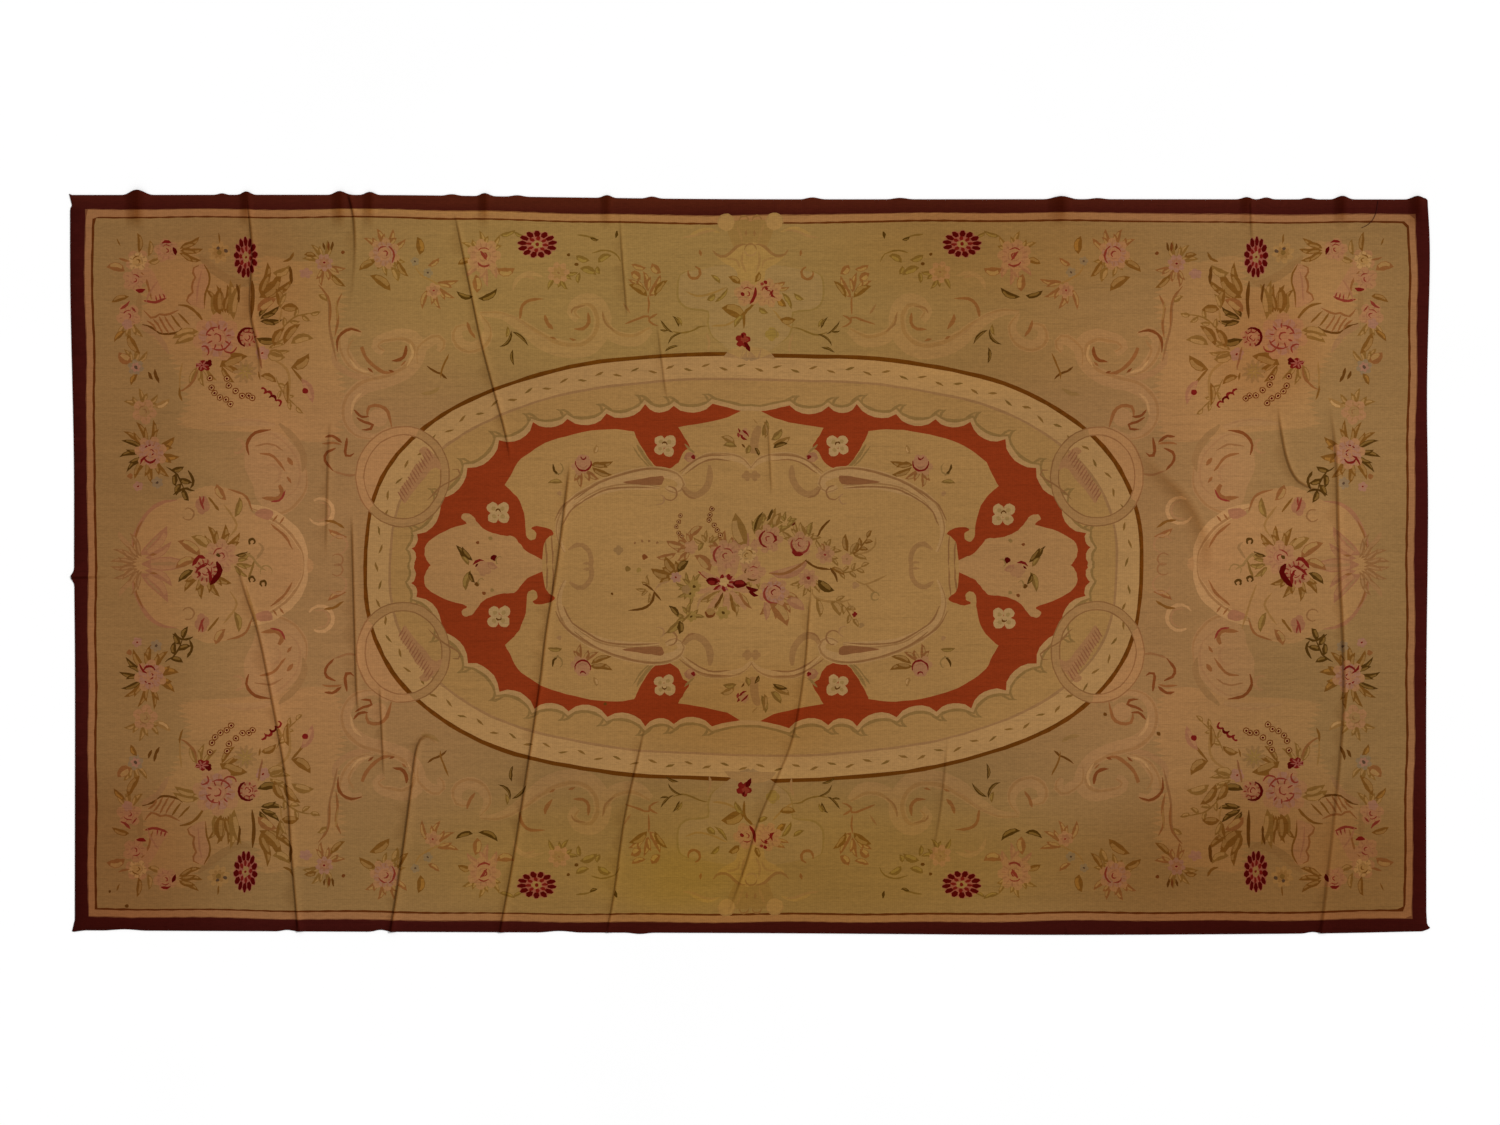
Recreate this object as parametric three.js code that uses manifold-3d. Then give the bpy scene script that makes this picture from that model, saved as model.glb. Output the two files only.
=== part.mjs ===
// A large tapestry-woven wool carpet of the Aubusson kind, lying flat on a floor. It is one woven
// sheet: the maroon guard band, the pale stripe and the field are wefts of one cloth, so they are
// one solid. Narrow pinched creases run down it, short waves lift its slack upper edge, and one
// loose end of guard yarn lies on the corner. Millimetres, +Z up, origin on the floor at the centre.
import * as THREE from "three";
import { mergeVertices } from "three/addons/utils/BufferGeometryUtils.js";
import Module from "manifold-3d";

const HALF_LENGTH = 2710;
const HALF_WIDTH = 1470;
const THICKNESS = 3;
const YARN_DIAMETER = 2.6;
const YARN_GAP = 0.3;

// How far apart the points of an edge lie, and the stations along a crease.
const EDGE_STEP = 34;
const CREASE_STEP = 62;
const WAVE_STEP = 45;

// Each edge as a smooth line through a few points, [x, y], taken clockwise from the upper left.
const TOP_LINE = [[-2712, 1478], [-1500, 1478], [-700, 1468], [0, 1461], [1300, 1461], [2690, 1460]];
const RIGHT_LINE = [[2710, 1462], [2719, 1220], [2708, 700], [2712, 200], [2705, -500], [2705, -1390]];
const BOTTOM_LINE = [[2690, -1467], [2200, -1476], [1200, -1481], [0, -1474], [-1200, -1470], [-2660, -1463]];
const LEFT_LINE = [[-2700, -1420], [-2699, -500], [-2702, -80]];
const UPPER_LEFT_LINE = [[-2703, -20], [-2704, 450], [-2717, 1050], [-2719, 1424]];

// The pointed corner tips, the jog where the band is folded over, and the pulled thread at mid height.
const UPPER_LEFT_TIP = [[-2711, 1434], [-2723, 1483]];
const LOWER_RIGHT_TIP = [[2708, -1440], [2722, -1455]];
const LOWER_LEFT_TIP = [[-2712, -1470]];
const LEFT_SNAG = [[-2718, -50]];

// Ripples of the slack upper edge: where along the edge, how far it swells out, and half its width.
const TOP_RIPPLES = [
  { at: -2450, swell: 20, half: 62 },
  { at: -2112, swell: 7, half: 28 },
  { at: -2014, swell: 13, half: 36 },
  { at: -1640, swell: 15, half: 46 },
  { at: -1520, swell: 12, half: 40 },
  { at: -1192, swell: 6, half: 44 },
  { at: -1060, swell: 12, half: 38 },
  { at: -930, swell: 6, half: 44 },
  { at: -572, swell: 11, half: 36 },
  { at: -392, swell: 8, half: 42 },
  { at: 250, swell: 8, half: 50 },
  { at: 600, swell: 6, half: 54 },
  { at: 1245, swell: 12, half: 70 },
  { at: 1390, swell: 5, half: 50 },
  { at: 1984, swell: 9, half: 34 },
  { at: 2064, swell: 8, half: 36 },
  { at: 2232, swell: 7, half: 40 },
  { at: 2368, swell: 14, half: 46 },
  { at: 2668, swell: 14, half: 46 },
];
const BOTTOM_RIPPLES = [
  { at: -2500, swell: -5, half: 90 },
  { at: -1850, swell: -6, half: 42 },
  { at: -1476, swell: -8, half: 46 },
  { at: -760, swell: -6, half: 90 },
  { at: -440, swell: 5, half: 60 },
  { at: 2250, swell: -6, half: 44 },
];
// A ripple this large also lifts the cloth, by this share of its swell, in a wave this long.
const LIFTING_SWELL = 9;
const WAVE_LIFT = 0.6;
const WAVE_LENGTH = 150;

// The creases: a route of [x, y, rise] points from the upper end down, with the widths of the steep
// flank, on the low-x side, and of the gentle one.
const CREASES = [
  { route: [[-2013, 1500, 9], [-1988, 1258, 8], [-1996, 1026, 8], [-1964, 858, 6], [-1956, 738, 0]],
    steep: 9, gentle: 22 },
  { route: [[-2056, 18, 0], [-2020, -102, 5], [-1964, -274, 7], [-1916, -506, 7], [-1852, -866, 9],
    [-1832, -1142, 9], [-1802, -1500, 9]], steep: 9, gentle: 22 },
  { route: [[-1616, 1520, 8], [-1584, 1394, 8], [-1580, 1218, 3], [-1600, 1018, 0]],
    steep: 9, gentle: 24 },
  { route: [[-1676, 578, 0], [-1684, 458, 4], [-1692, 178, 4], [-1696, 18, 0]], steep: 9, gentle: 24 },
  { route: [[-1592, 198, 0], [-1588, 78, 6], [-1580, -222, 7], [-1572, -502, 6], [-1564, -606, 0]],
    steep: 8, gentle: 20 },
  { route: [[-1480, -478, 0], [-1476, -562, 5], [-1468, -742, 5], [-1464, -862, 0]],
    steep: 7, gentle: 18 },
  { route: [[-1248, -726, 0], [-1290, -686, 5], [-1330, -730, 9], [-1356, -926, 11],
    [-1384, -1138, 12], [-1408, -1302, 12], [-1440, -1500, 12]], steep: 9, gentle: 24 },
  { route: [[-1180, 1402, 0], [-1164, 1330, 5], [-1112, 1078, 7], [-1072, 886, 7], [-1024, 702, 7],
    [-980, 538, 7], [-956, 410, 0]], steep: 7, gentle: 20 },
  { route: [[-720, 410, 0], [-732, 298, 7], [-768, 6, 9], [-812, -262, 9], [-840, -494, 9],
    [-896, -870, 9], [-948, -1198, 8], [-1004, -1500, 8]], steep: 8, gentle: 24 },
  { route: [[-520, 1410, 0], [-512, 1258, 4], [-496, 1058, 4], [-490, 990, 0]], steep: 7, gentle: 18 },
  { route: [[-372, 978, 0], [-360, 878, 3], [-340, 718, 3], [-328, 658, 0]], steep: 7, gentle: 18 },
  { route: [[-420, -654, 0], [-440, -742, 5], [-500, -1014, 6], [-540, -1302, 6], [-576, -1500, 4]],
    steep: 7, gentle: 20 },
  { route: [[68, 586, 0], [76, 498, 3], [84, 338, 3], [88, 278, 0]], steep: 7, gentle: 18 },
  { route: [[248, -86, 0], [236, -202, 5], [220, -414, 5], [176, -678, 5], [112, -850, 4],
    [40, -1014, 5], [-20, -1214, 5], [-92, -1414, 0]], steep: 7, gentle: 20 },
  { route: [[792, -682, 0], [780, -822, 3], [760, -1002, 3], [716, -1254, 0]], steep: 8, gentle: 20 },
  { route: [[2112, 638, 0], [2124, 538, 5], [2148, 418, 6], [2188, 338, 6], [2248, 306, 4],
    [2300, 290, 0]], steep: 8, gentle: 22 },
  { route: [[2320, 638, 0], [2344, 438, 5], [2352, 178, 7], [2360, -62, 7], [2372, -302, 7],
    [2376, -542, 7], [2360, -782, 5], [2332, -1062, 4], [2296, -1374, 5], [2278, -1505, 5]],
    steep: 10, gentle: 24 },
  { route: [[1996, 1500, 7], [2004, 1370, 4], [2012, 1258, 0]], steep: 9, gentle: 24 },
  { route: [[-2740, -52, 6], [-2660, -50, 5], [-2560, -46, 0]], steep: 8, gentle: 16 },
  { route: [[1540, 458, 0], [1640, 358, 3], [1740, 258, 4], [1820, 98, 3], [1828, -42, 0]],
    steep: 40, gentle: 46 },
];

// The loose end of guard yarn, from the upper edge inward, as it lies on the cloth.
const YARN_ROUTE = [[2511, 1455], [2508, 1432], [2503, 1406], [2488, 1376], [2466, 1356], [2444, 1346]];
const YARN_STEPS = 16;
const YARN_SIDES = 8;

const MAROON = 0x3f1612;
const FIELD_TAN = 0x8b683c;

const wasm = await Module();
wasm.setup();

// A closed BufferGeometry as a solid that can be joined and cut.
function toSolid(geometry) {
  const bare = geometry.index ? geometry.toNonIndexed() : geometry.clone();
  bare.deleteAttribute("normal");
  bare.deleteAttribute("uv");
  const merged = mergeVertices(bare, 1e-4);
  return new wasm.Manifold(new wasm.Mesh({
    numProp: 3,
    vertProperties: new Float32Array(merged.attributes.position.array),
    triVerts: new Uint32Array(merged.index.array),
  }));
}

function toGeometry(solid) {
  const mesh = solid.getMesh();
  const geometry = new THREE.BufferGeometry();
  geometry.setAttribute("position", new THREE.BufferAttribute(mesh.vertProperties, 3));
  geometry.setIndex(new THREE.BufferAttribute(mesh.triVerts, 1));
  geometry.computeVertexNormals();
  return geometry;
}

// How far the ripples push an edge out at one place along it: a sum of raised-cosine bumps.
function swellAt(ripples, along) {
  let swell = 0;
  for (const ripple of ripples) {
    const share = Math.abs(along - ripple.at) / ripple.half;
    if (share < 1) swell += ripple.swell * 0.5 * (1 + Math.cos(Math.PI * share));
  }
  return swell;
}

// Points along a smooth line, with ripples that push them towards the side that outward names.
function edgePoints(line, ripples = [], outward = 0) {
  const curve = new THREE.SplineCurve(line.map(([x, y]) => new THREE.Vector2(x, y)));
  const steps = Math.ceil(curve.getLength() / EDGE_STEP);
  return curve.getSpacedPoints(steps).map((p) => {
    const swell = swellAt(ripples, p.x);
    return new THREE.Vector2(p.x, p.y + outward * swell);
  });
}

function outlineShape() {
  const corner = (points) => points.map(([x, y]) => new THREE.Vector2(x, y));
  return new THREE.Shape([
    ...edgePoints(TOP_LINE, TOP_RIPPLES, 1),
    ...edgePoints(RIGHT_LINE),
    ...corner(LOWER_RIGHT_TIP),
    ...edgePoints(BOTTOM_LINE, BOTTOM_RIPPLES, -1),
    ...corner(LOWER_LEFT_TIP),
    ...edgePoints(LEFT_LINE),
    ...corner(LEFT_SNAG),
    ...edgePoints(UPPER_LEFT_LINE),
    ...corner(UPPER_LEFT_TIP),
  ]);
}

// The outline as a plate between two heights.
function plate(shape, low, high) {
  const geometry = new THREE.ExtrudeGeometry(shape, { depth: high - low, bevelEnabled: false });
  geometry.translate(0, 0, low);
  return toSolid(geometry);
}

// Half of a crease's section, from the foot of the steep flank over the top to the gentle foot.
const CREASE_SECTION = [
  { flank: "steep", out: 1, up: 0 },
  { flank: "steep", out: 0.4, up: 0.74 },
  { flank: "steep", out: 0, up: 1 },
  { flank: "gentle", out: 0.38, up: 0.66 },
  { flank: "gentle", out: 1, up: 0 },
];

// A ridge along a route: its section rides on the height base and is closed off at the height low.
function ridge({ route, steep, gentle }, base, low, step) {
  const curve = new THREE.CatmullRomCurve3(route.map(([x, y, rise]) => new THREE.Vector3(x, y, rise)));
  const steps = Math.max(3, Math.ceil(curve.getLength() / step));
  const width = { steep: -steep, gentle };
  const positions = [];
  const ring = CREASE_SECTION.length + 2;
  for (let i = 0; i <= steps; i++) {
    const place = curve.getPointAt(i / steps);
    const along = curve.getTangentAt(i / steps);
    // The steep flank looks to the low-x side of a route that runs down the cloth.
    const side = new THREE.Vector2(-along.y, along.x).normalize();
    const rise = Math.max(0, place.z);
    for (const { flank, out, up } of CREASE_SECTION) {
      const offset = width[flank] * out;
      positions.push(place.x + side.x * offset, place.y + side.y * offset, base + rise * up);
    }
    for (const offset of [width.gentle, width.steep]) {
      positions.push(place.x + side.x * offset, place.y + side.y * offset, low);
    }
  }
  const index = [];
  for (let i = 0; i < steps; i++) {
    for (let j = 0; j < ring; j++) {
      const a = i * ring + j;
      const b = i * ring + ((j + 1) % ring);
      index.push(a, a + ring, b, b, a + ring, b + ring);
    }
  }
  const last = steps * ring;
  for (let j = 1; j < ring - 1; j++) {
    index.push(0, j, j + 1, last, last + j + 1, last + j);
  }
  const geometry = new THREE.BufferGeometry();
  geometry.setAttribute("position", new THREE.Float32BufferAttribute(positions, 3));
  geometry.setIndex(index);
  return toSolid(geometry);
}

// A ripple's wave: a soft ridge from beyond the upper edge inward, sinking to nothing.
function waveOf(ripple) {
  const edge = HALF_WIDTH + 2 * LIFTING_SWELL;
  const rise = ripple.swell * WAVE_LIFT;
  return {
    route: [[ripple.at, edge + 20, rise], [ripple.at, edge - 40, rise],
      [ripple.at, edge - WAVE_LENGTH, 0]],
    steep: ripple.half * 0.8,
    gentle: ripple.half * 0.8,
  };
}

function clothSolid() {
  const shape = outlineShape();
  const bounds = plate(shape, -5, 60);
  let cloth = plate(shape, 0, THICKNESS);
  const waves = TOP_RIPPLES.filter((ripple) => ripple.swell >= LIFTING_SWELL).map(waveOf);
  const folds = [
    ...waves.map((wave) => ({ fold: wave, step: WAVE_STEP })),
    ...CREASES.map((crease) => ({ fold: crease, step: CREASE_STEP })),
  ];
  for (const { fold, step } of folds) {
    cloth = cloth.add(ridge(fold, THICKNESS, THICKNESS / 2, step).intersect(bounds));
  }
  for (const { fold, step } of folds) {
    cloth = cloth.subtract(ridge(fold, 0, -2, step));
  }
  return cloth;
}

function yarnGeometry() {
  const height = THICKNESS + YARN_GAP + YARN_DIAMETER / 2;
  const path = new THREE.CatmullRomCurve3(YARN_ROUTE.map(([x, y]) => new THREE.Vector3(x, y, height)));
  const section = new THREE.Shape();
  for (let i = 0; i < YARN_SIDES; i++) {
    const angle = (2 * Math.PI * (i + 0.5)) / YARN_SIDES;
    const point = [Math.cos(angle) * YARN_DIAMETER / 2, Math.sin(angle) * YARN_DIAMETER / 2];
    if (i === 0) section.moveTo(...point);
    else section.lineTo(...point);
  }
  section.closePath();
  return new THREE.ExtrudeGeometry(section, { steps: YARN_STEPS, extrudePath: path, bevelEnabled: false });
}

function named(name, geometry, color, roughness) {
  const mesh = new THREE.Mesh(geometry, new THREE.MeshStandardMaterial({ color, roughness, metalness: 0 }));
  mesh.name = name;
  return mesh;
}

const carpet = new THREE.Group();
carpet.add(named("woven_carpet", toGeometry(clothSolid()), FIELD_TAN, 0.92));
carpet.add(named("loose_yarn", yarnGeometry(), MAROON, 0.95));

export default carpet;
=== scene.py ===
# An Aubusson carpet, lying flat on a pale floor and seen from straight above: one tapestry-woven
# wool sheet with its pattern laid in as woven areas, pinched creases, and a loose end of guard yarn.
import math

import bpy
import numpy as np
from mathutils.geometry import delaunay_2d_cdt
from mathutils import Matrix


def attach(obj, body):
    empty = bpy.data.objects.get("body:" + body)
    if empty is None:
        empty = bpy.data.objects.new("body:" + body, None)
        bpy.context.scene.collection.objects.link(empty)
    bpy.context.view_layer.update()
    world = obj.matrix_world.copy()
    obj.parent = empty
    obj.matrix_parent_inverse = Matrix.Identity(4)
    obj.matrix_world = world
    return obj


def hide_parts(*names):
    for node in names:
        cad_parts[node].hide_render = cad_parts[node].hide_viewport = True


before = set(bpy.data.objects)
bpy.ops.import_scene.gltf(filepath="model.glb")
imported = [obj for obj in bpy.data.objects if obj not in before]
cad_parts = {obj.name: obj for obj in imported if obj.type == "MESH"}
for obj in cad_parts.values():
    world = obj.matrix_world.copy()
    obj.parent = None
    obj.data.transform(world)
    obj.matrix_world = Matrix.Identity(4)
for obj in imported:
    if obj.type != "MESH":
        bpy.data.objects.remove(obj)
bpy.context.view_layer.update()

bl_info = {
    "name": "Aubusson carpet",
    "version": (1, 0, 0),
    "blender": (4, 5, 0),
    "location": "3D View > Sidebar > Carpet",
    "description": "Weaves a flat Aubusson carpet around its packed solids",
    "category": "Add Mesh",
}

MM = 0.001

# The cartoon, which is the drawing that the weaver follows, is squared at 4 mm. Places on it are
# counted in squares from the carpet's centre, and a quarter's places outwards and upwards.
SQUARE = 4 * MM
QUARTERS = ((-1, 1), (1, 1), (-1, -1), (1, -1))
ENDS = ((-1, 1), (1, 1))
SIDES = ((-1, 1), (-1, -1))
ONCE = ((1, 1),)


# Curves

def smooth(points, steps=6, closed=False):
    """A Catmull-Rom curve: each span leaves a point along the line between its two neighbours."""
    p = np.asarray(points, float)
    if closed:
        ring = np.vstack([p[-1:], p, p[:2]])
    else:
        ring = np.vstack([2 * p[0] - p[1], p, 2 * p[-1] - p[-2]])
    a, b, c, d = ring[:-3, None], ring[1:-2, None], ring[2:-1, None], ring[3:, None]
    t = np.linspace(0, 1, steps, endpoint=False)[None, :, None]
    cubic = 2 * b + (c - a) * t + (2 * a - 5 * b + 4 * c - d) * t**2 + (3 * b - 3 * c + d - a) * t**3
    curve = cubic.reshape(-1, p.shape[1]) / 2
    return curve if closed else np.vstack([curve, p[-1:]])


def evenly(line, step):
    """The line again with points about one step apart, by length along it."""
    line = np.asarray(line, float)
    length = np.concatenate([[0], np.cumsum(np.linalg.norm(np.diff(line, axis=0), axis=1))])
    places = np.linspace(0, length[-1], max(2, int(round(length[-1] / step)) + 1))
    return np.stack([np.interp(places, length, column) for column in line.T], 1)


def normals(line):
    """The unit direction to the left of a line at each of its points."""
    along = np.gradient(line[:, :2], axis=0)
    along /= np.linalg.norm(along, axis=1, keepdims=True) + 1e-12
    return np.stack([-along[:, 1], along[:, 0]], 1)


def ribbon(line, left, right=None):
    """The area beside a line: a distance out to its left, and back at a distance to its right."""
    side = normals(line)
    left = np.broadcast_to(left, len(line))[:, None]
    right = left if right is None else np.broadcast_to(right, len(line))[:, None]
    return np.vstack([line + side * left, (line - side * right)[::-1]])


# The cloth's outline and its creases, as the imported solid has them

TOP_LINE = ((-2712, 1478), (-1500, 1478), (-700, 1468), (0, 1461), (1300, 1461), (2690, 1460))
RIGHT_LINE = ((2710, 1462), (2719, 1220), (2708, 700), (2712, 200), (2705, -500), (2705, -1390))
LOWER_RIGHT_TIP = ((2708, -1440), (2722, -1455))
BOTTOM_LINE = ((2690, -1467), (2200, -1476), (1200, -1481), (0, -1474), (-1200, -1470), (-2660, -1463))
LOWER_LEFT_TIP = ((-2712, -1470),)
LEFT_LINE = ((-2700, -1420), (-2699, -500), (-2702, -80))
LEFT_SNAG = ((-2718, -50),)
UPPER_LEFT_LINE = ((-2703, -20), (-2704, 450), (-2717, 1050), (-2719, 1424))
UPPER_LEFT_TIP = ((-2711, 1434), (-2723, 1483))

# Ripples: where along the edge, how far it swells out, half its width, in mm
TOP_RIPPLES = (
    (-2450, 20, 62), (-2112, 7, 28), (-2014, 13, 36), (-1640, 15, 46), (-1520, 12, 40),
    (-1192, 6, 44), (-1060, 12, 38), (-930, 6, 44), (-572, 11, 36), (-392, 8, 42),
    (250, 8, 50), (600, 6, 54), (1245, 12, 70), (1390, 5, 50), (1984, 9, 34),
    (2064, 8, 36), (2232, 7, 40), (2368, 14, 46), (2668, 14, 46),
)
BOTTOM_RIPPLES = (
    (-2500, -5, 90), (-1850, -6, 42), (-1476, -8, 46), (-760, -6, 90), (-440, 5, 60), (2250, -6, 44),
)
LIFTING_SWELL = 9
WAVE_LIFT = 0.6
WAVE_EDGE = 1488
WAVE_LENGTH = 150
EDGE_STEP = 12
EDGE_BAND = (2.68, 1.44)

# Creases: the widths of the steep and of the gentle flank, then the route as (x, y, rise), in mm
CREASES = (
    (9, 22, ((-2013, 1500, 9), (-1988, 1258, 8), (-1996, 1026, 8), (-1964, 858, 6), (-1956, 738, 0))),
    (9, 22, ((-2056, 18, 0), (-2020, -102, 5), (-1964, -274, 7), (-1916, -506, 7), (-1852, -866, 9),
             (-1832, -1142, 9), (-1802, -1500, 9))),
    (9, 24, ((-1616, 1520, 8), (-1584, 1394, 8), (-1580, 1218, 3), (-1600, 1018, 0))),
    (9, 24, ((-1676, 578, 0), (-1684, 458, 4), (-1692, 178, 4), (-1696, 18, 0))),
    (8, 20, ((-1592, 198, 0), (-1588, 78, 6), (-1580, -222, 7), (-1572, -502, 6), (-1564, -606, 0))),
    (7, 18, ((-1480, -478, 0), (-1476, -562, 5), (-1468, -742, 5), (-1464, -862, 0))),
    (9, 24, ((-1248, -726, 0), (-1290, -686, 5), (-1330, -730, 9), (-1356, -926, 11),
             (-1384, -1138, 12), (-1408, -1302, 12), (-1440, -1500, 12))),
    (7, 20, ((-1180, 1402, 0), (-1164, 1330, 5), (-1112, 1078, 7), (-1072, 886, 7), (-1024, 702, 7),
             (-980, 538, 7), (-956, 410, 0))),
    (8, 24, ((-720, 410, 0), (-732, 298, 7), (-768, 6, 9), (-812, -262, 9), (-840, -494, 9),
             (-896, -870, 9), (-948, -1198, 8), (-1004, -1500, 8))),
    (7, 18, ((-520, 1410, 0), (-512, 1258, 4), (-496, 1058, 4), (-490, 990, 0))),
    (7, 18, ((-372, 978, 0), (-360, 878, 3), (-340, 718, 3), (-328, 658, 0))),
    (7, 20, ((-420, -654, 0), (-440, -742, 5), (-500, -1014, 6), (-540, -1302, 6), (-576, -1500, 4))),
    (7, 18, ((68, 586, 0), (76, 498, 3), (84, 338, 3), (88, 278, 0))),
    (7, 20, ((248, -86, 0), (236, -202, 5), (220, -414, 5), (176, -678, 5), (112, -850, 4),
             (40, -1014, 5), (-20, -1214, 5), (-92, -1414, 0))),
    (8, 20, ((792, -682, 0), (780, -822, 3), (760, -1002, 3), (716, -1254, 0))),
    (8, 22, ((2112, 638, 0), (2124, 538, 5), (2148, 418, 6), (2188, 338, 6), (2248, 306, 4),
             (2300, 290, 0))),
    (10, 24, ((2320, 638, 0), (2344, 438, 5), (2352, 178, 7), (2360, -62, 7), (2372, -302, 7),
              (2376, -542, 7), (2360, -782, 5), (2332, -1062, 4), (2296, -1374, 5), (2278, -1505, 5))),
    (9, 24, ((1996, 1500, 7), (2004, 1370, 4), (2012, 1258, 0))),
    (8, 16, ((-2740, -52, 6), (-2660, -50, 5), (-2560, -46, 0))),
    (40, 46, ((1540, 458, 0), (1640, 358, 3), (1740, 258, 4), (1820, 98, 3), (1828, -42, 0))),
)


def rippled(line, ripples=(), outward=0):
    """An edge's smooth line, pushed out by a sum of raised-cosine bumps."""
    edge = evenly(smooth(np.array(line, float), 24), EDGE_STEP)
    for at, swell, half in ripples:
        share = np.clip(np.abs(edge[:, 0] - at) / half, 0, 1)
        edge[:, 1] += outward * swell * 0.5 * (1 + np.cos(np.pi * share))
    return edge


def cloth_outline():
    """The carpet's edge, clockwise from the upper left, in metres."""
    parts = (
        rippled(TOP_LINE, TOP_RIPPLES, 1), rippled(RIGHT_LINE), LOWER_RIGHT_TIP,
        rippled(BOTTOM_LINE, BOTTOM_RIPPLES, -1), LOWER_LEFT_TIP, rippled(LEFT_LINE), LEFT_SNAG,
        rippled(UPPER_LEFT_LINE), UPPER_LEFT_TIP,
    )
    outline = np.vstack([np.array(part, float) for part in parts])
    return evenly(np.vstack([outline, outline[:1]]), EDGE_STEP)[:-1] * MM


def all_folds():
    """The creases, and a short wave inwards from each ripple that is large enough to lift."""
    waves = []
    for at, swell, half in TOP_RIPPLES:
        if swell >= LIFTING_SWELL:
            rise = swell * WAVE_LIFT
            foot = WAVE_EDGE - WAVE_LENGTH
            route = ((at, WAVE_EDGE + 20, rise), (at, WAVE_EDGE - 40, rise), (at, foot, 0))
            waves.append((half * 0.8, half * 0.8, route))
    return tuple(waves) + CREASES


def fold_line(route):
    """A fold's route as a smooth line of (x, y, rise) points, in metres."""
    return evenly(smooth(np.array(route, float), 12), 24) * MM


def folds_at(places):
    """How far the folds lift the cloth at each place, and how far painted shade darkens it there. Across a
    fold, the lift is its rise times half a raised cosine, narrow on the steep flank and wide on the gentle
    one;
    folds don't add up. The painted shade stands for the fold's own shade: it lies along the foot of the
    steep flank, and fades within its width."""
    height = np.zeros(len(places))
    crease_shade = np.zeros(len(places))
    for steep, gentle, route in all_folds():
        line = fold_line(route)
        reach = max(steep, gentle) * MM
        low = line[:, :2].min(0) - reach
        high = line[:, :2].max(0) + reach
        near = np.flatnonzero(((places > low) & (places < high)).all(1))
        if not len(near):
            continue
        start = line[None, :-1]
        span = np.diff(line, axis=0)[None]
        away = places[near][:, None] - start[..., :2]
        share = np.clip((away * span[..., :2]).sum(-1) / (span[..., :2] ** 2).sum(-1), 0, 1)
        foot = start + span * share[..., None]
        apart = places[near][:, None] - foot[..., :2]
        distance = np.linalg.norm(apart, axis=-1)
        best = distance.argmin(1)
        rows = np.arange(len(near))
        across = span[0, best, 0] * apart[rows, best, 1] - span[0, best, 1] * apart[rows, best, 0]
        distance = distance[rows, best]
        rise = np.clip(foot[rows, best, 2], 0, None)
        width = np.where(across > 0, gentle, steep) * MM
        profile = 0.5 * (1 + np.cos(np.pi * np.clip(distance / width, 0, 1)))
        height[near] = np.maximum(height[near], rise * profile)
        # Painted shade along each fold: darkest at its line, it reaches 1.6 steep-flank widths out on the
        # steep side and 0.7 on the gentle side, and grows with the rise
        shade_reach = np.where(across < 0, 1.6, 0.7) * steep * MM
        painted_shade = np.clip(1 - distance / shade_reach, 0, 1) * np.clip(rise / (6 * MM), 0, 1)
        crease_shade[near] = np.maximum(crease_shade[near], painted_shade)
    return height, crease_shade


# Where the mesh of the face and of the back follows a fold: shares of its steep and gentle flanks
FACE_GUIDES = ((1.1, 0.75, 0.4), (0, 0.3, 0.65, 1.1))
BACK_GUIDES = ((1,), (0, 1))
FACE_GUIDE_STEP = 30 * MM
BACK_GUIDE_STEP = 60 * MM
# Areas longer than this, in metres, are woven through to the underside
MAIN_AREA = 1.1
SHARP_EDGE = math.radians(50)


def fold_guides(shares, step):
    """Lines beside each fold, at shares of its two flanks, for the mesh to follow its section."""
    guides = []
    for steep, gentle, route in all_folds():
        line = evenly(fold_line(route), step)
        side = normals(line)
        for flank, places in zip((-steep, gentle), shares):
            guides += [line[:, :2] + side * flank * share * MM for share in places]
    return guides


# The triangulated sheet

def winding(places, loop):
    """How many times a closed loop goes round each place, by the edges that cross a ray along +X."""
    x, y = places[:, :1], places[:, 1:]
    ax, ay = loop[:, 0], loop[:, 1]
    bx, by = np.roll(loop, -1, 0).T
    up = (ay <= y) & (by > y)
    down = (by <= y) & (ay > y)
    rise = np.where(by == ay, 1, by - ay)
    beyond = x < ax + (y - ay) * (bx - ax) / rise
    return (up & beyond).sum(1) - (down & beyond).sum(1)


def inside(places, loop, block=20000):
    """Which places lie in a closed loop. Only those in its box are tested, a block at a time."""
    found = np.zeros(len(places), bool)
    near = np.flatnonzero(((places >= loop.min(0)) & (places <= loop.max(0))).all(1))
    for first in range(0, len(near), block):
        some = near[first:first + block]
        found[some] = winding(places[some], loop) != 0
    return found


def numbered(lines):
    """The places of some lines, and the edges that join them. Each line comes with whether it closes."""
    edges, count = [], 0
    for line, closed in lines:
        numbers = np.arange(count, count + len(line))
        pairs = np.stack([numbers, np.roll(numbers, -1)], 1)
        edges.append(pairs if closed else pairs[:-1])
        count += len(line)
    return np.vstack([line for line, _ in lines]), np.vstack(edges)


def triangulated(places, edges):
    """A triangulation that holds each edge, split where it meets others: (places, triangles)."""
    made = delaunay_2d_cdt(places.tolist(), edges.tolist(), [], 0, 2e-5, False)
    return np.array([tuple(place) for place in made[0]]), np.array(made[2])


def seams(triangles, found):
    """The edges between two triangles of different wools."""
    edges = np.concatenate([triangles[:, (0, 1)], triangles[:, (1, 2)], triangles[:, (2, 0)]])
    edges.sort(1)
    wools = np.tile(found, 3)
    order = np.lexsort(edges.T)
    edges, wools = edges[order], wools[order]
    return edges[1:][(edges[1:] == edges[:-1]).all(1) & (wools[1:] != wools[:-1])]


# The cartoon

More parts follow.
